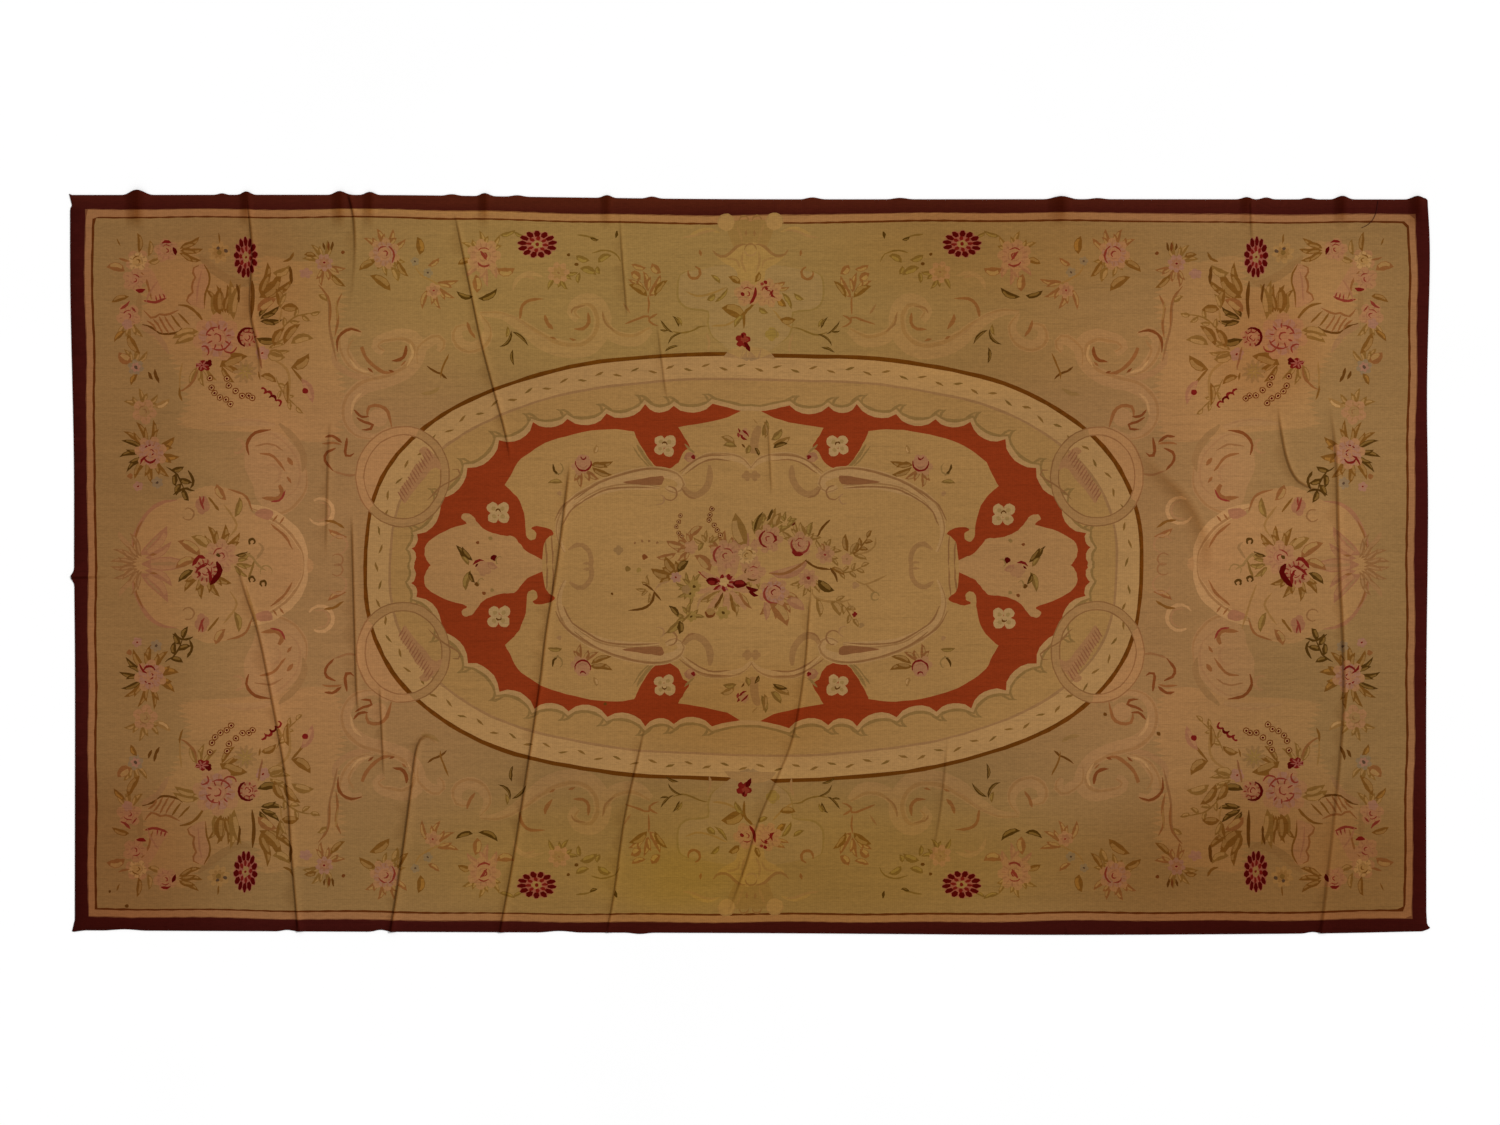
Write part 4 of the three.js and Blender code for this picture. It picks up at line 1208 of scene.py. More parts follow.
# Half the cartouche at the middle of a long side
MIDDLE_CARTOUCHE = (
    ("shape", ((-3, 296), (20, 300), (56, 294), (70, 290), (73, 277), (71, 263), (62, 256), (43, 252),
               (42, 240), (37, 228), (24, 217), (-3, 208)), "shield_olive", 4),
    ("shape", ((-3, 341), (22, 341), (20, 325), (14, 312), (12, 296), (-3, 294)), "crown", 3),
    ("bloom", (24, 342), 8.5, "cart", 3, 0.04),
    ("arc", (24, 342), 8.5, -10, 190, "scroll_shade", 1.6),
    ("shape", ((-1, 319), (12, 318), (21, 310), (34, 308), (24, 300), (15, 294), (12, 283), (-1, 281)),
     "leaf_light", 3),
    ("stroke", ((14, 340), (10, 330), (8, 322)), "bracket", 2),
    ("stroke", ((8, 312), (9, 302), (5, 292)), "bracket", 2.2),
    ("stroke", ((24, 306), (14, 304), (11, 296)), "bracket", 2),
    ("stroke", ((60, 330), (44, 336), (30, 332)), "leaf_light", 3),
    ("arc", (6.5, 344), 4.5, 0, 180, "scroll_edge", 2),
    ("stroke", ((4, 334), (4.5, 328)), "scroll_edge", 2.4),
    ("stroke", ((37.7, 314.4), (33, 309), (23.8, 309), (13, 318.2), (4, 320)), "scroll_edge", 2.6),
    ("stroke", ((68, 327), (56, 329), (46, 333), (34, 334)), "scroll_shade", 2),
    ("stroke", ((50, 309), (51, 315)), "rust", 3),
    ("arc", (0, 314.4), 6, 20, 180, "scroll_edge", 1.8),
    ("arc", (0, 314.4), 6, 190, 300, "scroll_shade", 1.8),
    ("stroke", ((60.8, 294.4), (70.8, 289.8), (73, 277.5), (71.5, 263.6), (62.3, 256), (42.3, 252.8),
                (42.3, 242), (37.7, 228.2), (26, 219)), "olive_line", 1.6),
    ("arc", (57, 292), 6, 100, 380, "rust", 3),
    ("stroke", ((43, 231), (40, 222), (41, 212)), "scroll_shade", 2),
    ("area", ((26, 206.5), (21, 213), (12, 217), (-2, 218), (-2, 207), (8, 206.5)), "panel"),
)
MIDDLE_FLOWERS = (
    ("stroke", ((64.6, 272.8), (53, 268.5), (38, 271), (23.8, 277.5)), "leaf_tan", 1.8),
    ("leaf", (44, 264), (36, 270), 6, 0.1, "olive"),
    ("leaf", (36, 262), (24, 276), 3.5, 0.1, "olive"),
    ("leaf", (11, 280), (22, 287), 6.5, 0.1, "brown"),
    ("leaf", (31, 281), (40, 289), 4, 0.1, "olive"),
    ("leaf", (6, 245), (28, 255.5), 12, 0.12, "brown"),
    ("stroke", ((6, 236), (6, 251), (-1, 258), (-4, 264)), "leaf_shade", 2.4),
    ("stroke", ((38, 238), (24, 239), (13, 245)), "leaf_tan", 1.8),
    ("leaf", (7, 249), (15, 237), 5, 0.1, "olive"),
    ("stroke", ((-22.3, 255), (-31.5, 245), (-42, 237.5)), "leaf_tan", 1.8),
    ("leaf", (-29, 246), (-44, 246.5), 7, 0.1, "brown"),
    ("bloom", (-22, 231), 7, "olive_light", 4, 0.2),
    ("arc", (-22, 231), 5, 30, 260, "olive_line", 1.4),
    ("leaf", (-27, 268), (-35, 259), 6.5, 0.1, "ochre"),
    ("leaf", (-31, 272), (-40, 257), 4.5, -0.1, "olive"),
    ("leaf", (-43, 272), (-53, 266), 4.5, 0.1, "olive"),
    ("leaf", (-20, 279), (-34, 283), 4.5, 0.1, "rust"),
    ("leaf", (-24, 276), (-38, 278), 3.5, 0.1, "rust"),
    ("leaf", (-4, 282), (-8, 292), 5, 0.1, "brown"),
    ("bloom", (-12, 257), 8, "shield_olive", 5, 0.2),
    ("leaf", (-8, 257), (-17, 252), 5, 0.1, "olive"),
    ("rose", (-17, 271.5), 11.5, "pale", 0.3),
    ("rose", (3.8, 270.5), 10.5, "pink", 0.9),
    ("stroke", ((-4.6, 277), (-3.5, 268), (1, 260)), "wine", 2.8),
    ("stroke", ((-22, 275), (-20, 270), (-24, 267)), "wine", 2.6),
    ("bloom", (8.5, 270), 2.2, "wine", 2, 0.1),
    ("bloom", (-14.6, 282), 2, "wine", 2, 0.1),
    ("bloom", (-11, 280.5), 1.8, "pink_deep", 2, 0.1),
    ("bloom", (-15.5, 276), 1.8, "wine", 2, 0.1),
    ("bloom", (6.5, 224), 8, "wine", 5, 0.35, 0.4),
    ("bloom", (5, 225), 4, "pink_deep", 4, 0.3),
    ("stroke", ((5, 222), (2, 218), (-0.5, 213)), "petal_dark", 4),
    ("stroke", ((8, 231), (6, 226)), "petal_dark", 2),
)
# The frame of scrolls round the centre bouquet, and the clover on each tab of the brick ring
CENTRE_FRAME = (
    ("stroke", ((114, 121), (106, 108), (96, 96)), "olive_line", 3),
    ("stroke", ((118, 119), (109, 106), (100, 97)), "olive_line", 1.4),
    ("stroke", ((66, 121), (60, 115), (56, 112)), "olive_line", 2),
    ("scroll", ((186, 14), (191, 26), (192, 41), (182, 61), (157, 78), (132, 88), (108, 93), (88, 93),
                (74, 88), (70, 80), (77, 74), (86, 78)), 9, "pale"),
    ("scroll", ((178, 60), (162, 70), (145, 77), (120, 80), (92, 78)), 6, "pale"),
    ("stroke", ((177, 66), (157, 81), (132, 91), (102, 97), (80, 94)), "scroll_edge", 1.5),
    ("stroke", ((175, 60), (162, 69), (145, 77), (120, 79), (92, 77)), "scroll_edge", 1.5),
    ("stroke", ((196, 45), (186, 62), (160, 80)), "scroll_edge", 1.3),
    ("stroke", ((188, 40), (180, 56), (164, 68)), "scroll_edge", 1.3),
    ("shape", ((129, 84), (114, 86.5), (100, 88.5), (88, 89), (90, 81), (100, 80.5), (114, 81.5)),
               "mauve", 3),
    ("arc", (82, 72), 7, 80, 330, "scroll_edge", 1.8),
    ("arc", (93, 66), 5, 100, 300, "scroll_shade", 1.6),
    ("scroll", ((70, 90), (62, 98), (50, 106), (38, 109.5), (20, 109), (8, 105), (0, 97)), 6, "pale"),
    ("stroke", ((68, 78), (64, 72), (57, 70), (50, 73), (44, 80), (41, 89), (41, 100)),
                "bracket", 6.5, 0.5, 0.4),
    ("stroke", ((70, 77), (64, 69), (56, 67)), "scroll_edge", 1.5),
    ("stroke", ((72, 93), (55, 105), (40, 110), (20, 110.5)), "scroll_edge", 1.4),
    ("stroke", ((66, 91), (52, 101), (38, 106), (20, 105)), "scroll_edge", 1.3),
    ("bloom", (4, 90), 5.5, "bracket", 4, 0.3),
    ("leaf", (67, 107), (55, 109), 10, 0, "blush"),
    ("bloom", (57.5, 108), 2.4, "wine", 3, 0.3),
    ("stroke", ((182, 16), (172, 22), (163, 17), (159.5, 8), (160, 0)), "bracket", 4.6, 0.3, 0.9),
    ("stroke", ((168, 3), (160, 3)), "bracket", 3),
    ("stroke", ((205, 24), (204, 10), (204, 0)), "scroll_edge", 1.5),
    ("stroke", ((199, 30), (198, 14), (198, 0)), "scroll_edge", 1.3),
    ("clover", ((91, 124.6), (80.8, 123.6), (91.6, 115.6), (82, 113.6)), (5.2, 6.4, 5.2, 5.4),
     (86, 120.6)),
    ("clover", ((258, 57), (247, 56.6), (257, 47), (246.4, 46.8)), (5.9, 5.9, 5.6, 5.8), (252.3, 52.8)),
)
# A rosebud with its leaves inside each corner of the ring
BUD_SPRAY = (
    ("fan", (166, 101), 27, 172, 200, 3, 5.5, "brown"),
    ("fan", (170, 99), 20, 215, 300, 4, 5, "rust"),
    ("leaf", (158, 112), (155, 121), 4.5, 0.1, "pale"),
    ("stroke", ((199, 101), (198, 95), (193, 90)), "olive_dark", 2),
    ("arc", (195, 97), 6, 120, 300, "olive_line", 1.6),
    ("leaf", (189, 83), (203, 82), 4, 0.1, "olive"),
    ("bloom", (192, 72), 2.6, "scroll_shade", 3, 0.2),
    ("bloom", (172, 99), 9, "blush", 5, 0.3),
    ("bloom", (168.5, 103), 8.6, "rose_pale", 6, 0.12),
    ("arc", (168.5, 103), 8, 165, 370, "wine", 2.0),
    ("arc", (168.5, 109), 2.6, 180, 360, "wine", 1.6),
    ("arc", (168.5, 102), 4, 200, 330, "pink", 1.4),
)
# The sprays over and under the centre bouquet, and the ones in the shields at its ends
END_SPRAY = (
    ("stroke", ((-3, 112), (-4, 128), (-8, 140)), "bracket", 8, 0.8, 0.5),
    ("leaf", (-11, 130), (-15, 146), 6, 0.1, "olive"),
    ("leaf", (-14, 128), (-13, 144), 4, 0.1, "tan"),
    ("leaf", (-20, 126), (-30, 137), 6.5, 0.1, "olive"),
    ("leaf", (-22, 122), (-38, 129), 7, 0.1, "tan"),
    ("leaf", (-22, 118), (-36, 122), 4.4, -0.1, "dark"),
    ("leaf", (16, 122), (29, 128), 6, 0.1, "tan"),
    ("leaf", (14, 119), (27, 120), 5, 0.1, "olive"),
    ("leaf", (5, 112), (2, 121), 5, 0.1, "olive"),
    ("leaf", (-8, 110), (-4, 118), 3.2, 0.1, "dark"),
    ("stroke", ((-2, 147), (-7, 142)), "leaf_tan", 1.4),
    ("stroke", ((13, 137), (9, 132), (5, 130)), "wine", 2.2),
    ("stroke", ((11, 131), (7, 127), (4, 126)), "wine", 2),
    ("stroke", ((13, 133), (12, 128)), "pink_deep", 3),
    ("bloom", (6, 133), 5, "blush", 4, 0.3),
    ("stroke", ((9, 136), (5, 133), (2, 129)), "wine", 1.8),
    ("stroke", ((9, 122), (6, 118)), "leaf_brown", 2),
)
SHIELD_SPRAY = (
    ("bloom", (267, -4), 8, "blush", 5, 0.2),
    ("leaf", (286, 3), (294.5, 19), 4.4, 0.1, "dark"),
    ("leaf", (278.5, 4), (288.5, 17.5), 5.2, -0.1, "dark"),
    ("leaf", (282, -1), (290, 8), 4, 0.1, "olive"),
    ("leaf", (280, -6), (285, -25), 6.5, 0.1, "olive"),
    ("leaf", (281.5, -7), (276.5, -18), 4, 0.1, "dark"),
    ("stroke", ((278, 0), (273, 4), (267, 4)), "wine", 2.2),
    ("stroke", ((276, -3), (273, 1)), "petal_dark", 1.8),
    ("bloom", (257, 6.4), 3.4, "petal_dark", 3, 0.2),
    ("arc", (251, 3.5), 4, -60, 120, "olive_line", 1.4),
    ("leaf", (264, 2), (254, -3), 6, 0.1, "blush"),
    ("bloom", (274.4, -20), 2.4, "leaf_brown", 3, 0.2),
    ("arc", (270, -17.5), 3, -60, 150, "olive_line", 1.4),
    ("bloom", (273, 22), 1.8, "scroll_dark", 2, 0.1),
    ("bloom", (260, 26), 2.2, "olive_line", 2, 0.1),
    ("bloom", (267, -29), 2, "scroll_dark", 2, 0.1),
    ("bloom", (259, -26), 2, "olive_line", 2, 0.1),
)
# The bouquet at the carpet's middle, which is woven once: places count to the right and upwards
CENTRE_BOUQUET = (
    ("fan", (-25, 9), 25, 55, 150, 6, 6, "rust"),
    ("fan", (-3, 10), 21, 45, 135, 5, 5.5, "blush"),
    ("fan", (17, 26), 24, 25, 150, 8, 5, "olive"),
    ("fan", (49, 20), 22, 15, 165, 8, 4.5, "tan"),
    ("fan", (24, -31), 24, 235, 350, 7, 6, "rust"),
    ("fan", (-24, -22), 31, 205, 318, 9, 5, "tan"),
    ("fan", (-58, -23), 17, 60, 260, 9, 3.2, "olive"),
    ("fan", (-60, 18), 18, 85, 250, 8, 5, "rust"),
    ("fan", (74, 9), 17, -40, 120, 7, 4, "tan"),
    ("fan", (57, -15), 18, 200, 340, 6, 4, "tan"),
    ("fan", (-62, -52), 16, 0, 200, 6, 3.5, "olive"),
    ("fan", (-75, -12), 20, 60, 200, 6, 5.5, "brown"),
    ("fan", (-44, 20), 15, 30, 150, 5, 3.5, "tan"),
    ("fan", (35, 40), 12, 20, 160, 5, 3, "olive"),
    ("fan", (0, -10), 17, 200, 300, 5, 3.5, "tan"),
    ("fan", (-100, -24), 14, 100, 260, 5, 3, "tan"),
    ("sprig", ((84, -8), (98, -8), (112, -2)), 9, 6, "tan"),
    ("sprig", ((98, 10), (108, 14), (118, 28)), 9, 6, "brown"),
    ("sprig", ((76, -36), (92, -40), (104, -56)), 10, 6, "tan"),
    ("leaf", (-61, 28), (-49, 38), 7, 0.1, "rust"),
    ("leaf", (-66, 19), (-83, 24), 7, 0.1, "rust"),
    ("leaf", (-74, 12), (-93, 8), 5.5, 0.1, "rust"),
    ("leaf", (-79, -9), (-98, -4), 8.5, 0.12, "brown"),
    ("leaf", (-74, -7), (-84, 8), 8, 0.1, "brown"),
    ("leaf", (-72, -7), (-62, 4), 6.5, 0.1, "dark"),
    ("bloom", (-59.5, 18), 7, "blush", 5, 0.25),
    ("leaf", (-52, 14), (-47, 22), 4, 0.1, "olive"),
    ("daisy", (-74, -12), 5.5, 6, "lilac", 0.2),
    ("leaf", (-40, -6), (-55, 9), 10, -0.12, "rust"),
    ("stroke", ((-52, -6), (-44, -12), (-38, -13)), "pink_deep", 2.2),
    ("beads", ((-70.5, 49), (-72, 43), (-74.5, 38), (-72, 32), (-69, 29)), 2.4),
    ("beads", ((-39, 56), (-41, 50), (-42, 45), (-37, 40), (-34, 35), (-31, 30)), 2.8),
    ("leaf", (-5, 17), (-15, 50), 14, 0.06, "tan"),
    ("leaf", (3, 30), (13, 50), 8, 0.1, "olive"),
    ("leaf", (8, 34), (24, 55), 8, -0.1, "tan"),
    ("stroke", ((22, 55), (19, 48), (16, 43)), "olive_dark", 2.4),
    ("stroke", ((12, 52), (6, 44), (3, 33)), "olive_dark", 2),
    ("leaf", (24, 36), (30, 50), 7, 0.1, "tan"),
    ("leaf", (58, 27), (62, 41), 5.5, 0.1, "olive"),
    ("leaf", (54, 28), (50, 41), 5, 0.1, "tan"),
    ("stroke", ((80, 44), (72, 36), (66, 26)), "leaf_brown", 2),
    ("bloom", (42, 39.5), 2.2, "petal_dark", 3, 0.2),
    ("leaf", (36, 36), (44, 42), 4, 0.1, "olive"),
    ("rose", (-25, 9), 13, "pink", 0.4),
    ("arc", (-27, 10), 10, 110, 230, "pink_deep", 2.4),
    ("rose", (-4, 9), 9.5, "peach", 0.2),
    ("rose", (2.5, -8.5), 10, "pale", 0.8),
    ("arc", (2.5, -8.5), 8, 150, 300, "leaf_brown", 1.8),
    ("rose", (17, 25), 11.5, "pale", 0.3),
    ("arc", (17, 25), 8.5, 110, 260, "wine", 2.6),
    ("stroke", ((22, 29), (25, 25), (22, 21)), "wine", 2.4),
    ("rose", (49, 19), 10, "pale", 1.1),
    ("arc", (49, 19), 9, 150, 380, "pink_deep", 2.6),
    ("stroke", ((42, 15), (44, 9), (52, 9)), "wine", 4),
    ("leaf", (18, -9), (56, 3), 11, -0.16, "blush"),
    ("stroke", ((18, -9.5), (32, -10.5), (45, -5), (56, 4)), "rust", 2.4),
    ("stroke", ((54, 3), (65, -4), (80, -5.5)), "leaf_brown", 2),
    ("stroke", ((79, -4), (84, -10), (87, -18)), "leaf_brown", 2.2),
    ("leaf", (80, -4), (93, -11), 4.5, 0.1, "brown"),
    ("daisy", (74, 9), 9.5, 6, "pale", 0.2),
    ("leaf", (73, 12), (71, 20), 4, 0, "rust"),
    ("leaf", (97, 12), (95.5, 29), 6, 0.1, "brown"),
    ("leaf", (100, 9), (108, 22), 4.5, 0.1, "tan"),
    ("stroke", ((126, 27), (124, 18), (115, 12), (104, 10)), "leaf_tan", 1.6),
    ("leaf", (104, 8), (116, 5), 4, 0.1, "tan"),
    ("daisy", (96, 5), 6, 5, "faint", 0.2),
    ("bloom", (105, -21), 4, "scroll_shade", 3, 0.3),
    ("stroke", ((105, -16), (115, -20), (125, -16), (136, -11)), "leaf_tan", 1.6),
    ("stroke", ((115, -20), (122, -26), (125, -29)), "leaf_tan", 1.5),
    ("arc", (125, -32), 4, 0, 330, "olive_line", 1.8),
    ("daisy", (57.5, -15), 10, 7, "pale", 0.1),
    ("bloom", (57.5, -14.5), 2, "wine", 2, 0.1),
    ("leaf", (67.5, -16), (83, -26), 8.5, -0.12, "dark"),
    ("stroke", ((62, -25), (64, -33), (76, -37), (90, -38), (101, -35)), "leaf_tan", 2),
    ("leaf", (66, -34), (70, -52), 6.5, 0.1, "tan"),
    ("leaf", (81, -37), (90, -51), 7.5, 0.1, "tan"),
    ("stroke", ((97, -37), (102, -44), (106, -50)), "leaf_tan", 1.6),
    ("bloom", (105, -50), 2.8, "wine", 4, 0.3),
    ("bloom", (112, -61), 3, "sage", 3, 0.3),
    ("rose", (24, -29), 12, "lilac", 0.3),
    ("arc", (24, -30), 10, 130, 290, "pink_deep", 2.4),
    ("leaf", (20, -40), (37, -61), 12, 0.1, "rust"),
    ("leaf", (36, -37), (54, -46), 10, 0.1, "blush"),
    ("leaf", (14, -38), (16, -56), 6, 0.1, "blush"),
    ("ring_of_petals", (-23, -22), 5, 30, 9, 7, "blush", 3.3),
    ("stroke", ((-27, -28), (-31, -36), (-36, -43)), "leaf_brown", 2.4),
    ("stroke", ((-19, -30), (-18, -40), (-15, -48)), "leaf_shade", 2.6),
    ("stroke", ((-11, -28), (-6, -38), (2, -45)), "rust", 2.4),
    ("stroke", ((-40, -26), (-50, -34), (-53, -43)), "scroll_shade", 2.4),
    ("stroke", ((-4, -22.5), (2, -26), (8, -26)), "petal_dark", 3.4),
    ("stroke", ((-1, -27), (4, -31), (8, -32)), "petal_dark", 3),
    ("ring_of_petals", (-27, -18), 4, 14, 8, 5, "wine", 0.1, 0.62),
    ("ring_of_petals", (-26, -18), 5, 12, 7, 2.4, "petal_rose", 0.5, 0.7),
    ("leaf", (-32, -17), (-44, -15), 8, 0, "wine"),
    ("leaf", (-18, -19), (-4, -20), 8, 0, "wine"),
    ("bloom", (-26, -17), 5, "cream_light", 5, 0.25),
    ("bloom", (-22, -11), 2, "wine", 3, 0.2),
    ("daisy", (-56, -21), 7, 7, "sage", 0.2),
    ("daisy", (-60, -28), 5.5, 6, "sage", 0.6),
    ("bloom", (-64, -24), 5, "sage", 5, 0.3),
    ("daisy", (-27, -48), 7, 6, "sage", 0.1),
    ("bloom", (-40, -48), 5.5, "leaf_tan", 3, 0.2),
    ("arc", (-40, -47), 4.5, 170, 350, "rust_dark", 3),
    ("daisy", (-59, -51), 5.5, 6, "sage", 0.5),
    ("leaf", (-71, -55), (-84, -67), 6.5, 0.1, "olive"),
    ("leaf", (-71, -55), (-71, -68), 6.5, 0.1, "dark"),
    ("leaf", (-72, -51), (-81, -41), 5, -0.1, "dark"),
    ("stroke", ((-70, -58), (-64, -52), (-59, -47)), "olive", 1.6),
    ("stroke", ((-96, -26), (-98, -36), (-106, -43), (-122, -46)), "leaf_brown", 2.2),
    ("stroke", ((-107, -19), (-101, -22), (-96, -26)), "leaf_brown", 1.8),
    ("stroke", ((-96, -26), (-93, -31), (-89, -35)), "leaf_brown", 1.8),
    ("stroke", ((-96, -26), (-90, -19), (-80, -16)), "scroll_shade", 1.5),
    ("bloom", (-122, -4), 3, "olive", 3, 0.2),
    ("bloom", (-111, -5), 2.6, "olive_light", 3, 0.2),
    ("bloom", (-105, 8), 3, "scroll_dark", 3, 0.2),
    ("bloom", (-131, 15), 5, "sage", 4, 0.3),
    ("beads", ((-115, 22), (-108, 24), (-101, 24), (-93, 22)), 1.2),
    ("bloom", (-138, -29), 1.5, "leaf_brown", 2, 0.1),
)


# Small stains and worn spots, each in one place only
STAINS = (
    ("bloom", (355, -149), 2, "leaf_brown", 2, 0.1),
    ("bloom", (409, -169), 2.2, "leaf_brown", 2, 0.1),
    ("bloom", (-145, -140), 1.8, "leaf_brown", 2, 0.1),
    ("bloom", (-623, -341), 2, "leaf_brown", 2, 0.1),
    ("bloom", (-640, -327), 1.4, "leaf_brown", 2, 0.1),
)


def draw_garland(cartoon):
    """Small leaves that follow the oval between its two lines, by turns on either side."""
    cartoon.copies = ONCE
    cartoon.centre = OVAL_CENTRE
    half_length, half_width = OVAL
    line = superellipse(half_length - 13, half_width - 13, 2.5, 400)
    line = evenly(np.vstack([line, line[:1]]), 9)
    side = normals(line)
    for k in range(0, len(line) - 3, 2):
        out = 3.2 if k % 4 else -3.2
        kind = "leaf_edge" if k % 6 else "olive"
        route = (line[k] - side[k] * out, line[k + 1] - side[k + 1] * out * 0.1)
        cartoon.stroke(route, kind, 1.9, 0.2, 0.1)
    cartoon.centre = (0, 0)


def draw_centre(cartoon):
    cartoon.centre = (1.5, -1)
    cartoon.copies = QUARTERS
    cartoon.draw(CENTRE_FRAME)
    cartoon.draw(BUD_SPRAY)
    cartoon.copies = SIDES
    cartoon.draw(END_SPRAY)
    cartoon.copies = ENDS
    cartoon.draw(SHIELD_SPRAY)
    cartoon.centre = (0, 0)
    cartoon.copies = ONCE
    cartoon.draw(CENTRE_BOUQUET)


def drawn_cartoon():
    """The whole pattern, from its large areas to its flowers."""
    cartoon = Cartoon()
    draw_bands(cartoon)
    cartoon.copies = QUARTERS
    cartoon.draw(SCROLLWORK)
    draw_medallion_ground(cartoon)
    draw_garland(cartoon)
    draw_knots(cartoon)
    draw_centre(cartoon)
    cartoon.copies = QUARTERS
    for motifs in (CARTOUCHE, MIDDLE_CARTOUCHE, SIDE_SPRAY, TOP_SWAG, CORNER_WINGS, CORNER_BOUQUET,
                   CORNER_GARLAND):
        cartoon.draw(motifs)
    cartoon.copies = ENDS
    cartoon.draw(CARTOUCHE_FLOWERS)
    cartoon.copies = SIDES
    cartoon.draw(MIDDLE_FLOWERS)
    cartoon.copies = ONCE
    cartoon.draw(STAINS)
    return cartoon


# Where the dyes have faded, yellowed or soiled: the middle and the reach, in metres, and the share of
# its sRGB red, green and blue that a wool reads as there. The first are of the field alone.
FIELD_DRIFTS = (
    ((-0.45, 1.12), (1.3, 0.5), (1.09, 1.12, 1.03)),
    ((1.9, 1.12), (0.75, 0.42), (1.06, 1.05, 1.04)),
    ((-1.48, 0), (0.6, 0.95), (1.1, 1.07, 1.11)),
    ((1.48, 0), (0.6, 0.95), (1.1, 1.07, 1.1)),
    ((2.25, 0.5), (0.5, 0.75), (1.1, 1.1, 1.11)),
)
DRIFTS = (
    ((0, 0.2), (1, 0.6), (1.025, 1.03, 1.035)),
    ((0, -1.2), (1.3, 0.32), (1.03, 1.03, 0.88)),
    ((-0.35, -1.25), (0.35, 0.14), (1.02, 1.02, 0.88)),
    ((2.1, -1.25), (0.85, 0.36), (0.92, 0.87, 0.81)),
    ((-2.6, -1.25), (0.5, 0.4), (0.9, 0.85, 0.82)),
    ((0, 1.47), (2.95, 0.055), (1.2, 1.35, 1.1)),
    ((-2.5, 0.1), (0.25, 1.4), (1, 0.965, 0.955)),
    ((2.06, 0.87), (0.22, 0.25), (0.94, 0.9, 0.87)),
    ((-2.05, 0.52), (0.25, 0.25), (1.06, 1.04, 1.05)),
    ((-2.05, -0.54), (0.25, 0.25), (1.06, 1.04, 1.05)),
    ((0.93, 0.87), (0.6, 0.2), (1.04, 1.03, 0.99)),
    ((0.7, -1.24), (1, 0.2), (0.97, 0.96, 0.94)),
    ((-2.08, 1.1), (0.35, 0.35), (1.01, 0.96, 0.94)),
    ((0.95, 1.25), (0.6, 0.2), (1.01, 0.985, 0.92)),
    ((0, -0.6), (0.45, 0.2), (0.98, 0.955, 0.9)),
    ((-0.57, -1.24), (0.2, 0.15), (1, 1, 1.08)),
)


def drift_at(places, drifts):
    """What some drifts multiply each place's linear colour by. A drift acts fully near its middle,
    and fades as e to the minus fourth power of the distance in reaches."""
    shade = np.ones((len(places), 3))
    for middle, reach, colour in drifts:
        far = (((places - middle) / reach) ** 2).sum(1)
        shade *= 1 + np.exp(-far ** 2)[:, None] * (np.array(colour) - 1)
    return shade ** 2.2


def in_the_oval(places):
    """Which places lie inside the medallion's oval line."""
    far = np.abs(places / SQUARE - OVAL_CENTRE) / OVAL
    return (far ** OVAL_POWER).sum(1) < 1


def dyed_corners(places, triangles, found, palette):
    """The colour of each triangle's corners: its wool's own, and the drifts at each corner."""
    corners = triangles.ravel()
    colour = np.repeat(palette[found], 3, axis=0) * drift_at(places, DRIFTS)[corners]
    field = np.repeat(~in_the_oval(places[triangles].mean(1)), 3)
    colour[field] *= drift_at(places, FIELD_DRIFTS)[corners][field]
    return np.column_stack([colour, np.ones(len(colour))])


def rim_walls(rings, count):
    """The rim's triangles, between each ring of the outline and the one under it. A ring is given by
    the number of its first place."""
    here = np.arange(count)
    after = np.roll(here, -1)
    walls = []
    for upper, lower in zip(rings, rings[1:]):
        walls += [np.stack([upper + here, upper + after, lower + after], 1),
                  np.stack([upper + here, lower + after, lower + here], 1)]
    return walls


def sheet_mesh(name, places, triangles, colours, crease_shade):
    """The sheet as a smooth mesh, with its wool and its creases' painted shade as attributes and its plan as
    a UV map.
    """
    mesh = bpy.data.meshes.new(name)
    mesh.from_pydata(places.tolist(), [], triangles.tolist())
    mesh.color_attributes.new("wool", "FLOAT_COLOR", "CORNER").data.foreach_set("color", colours.ravel())
    mesh.attributes.new("crease_shade", "FLOAT", "POINT").data.foreach_set("value", crease_shade)
    flat = places[:, :2] - places[:, :2].min(0)
    flat /= flat.max()
    mesh.uv_layers.new(name="plan").data.foreach_set("uv", flat[triangles.ravel()].ravel())
    mesh.polygons.foreach_set("use_smooth", np.ones(len(triangles), bool))
    mesh.set_sharp_from_angle(angle=SHARP_EDGE)
    mesh.update()
    return mesh


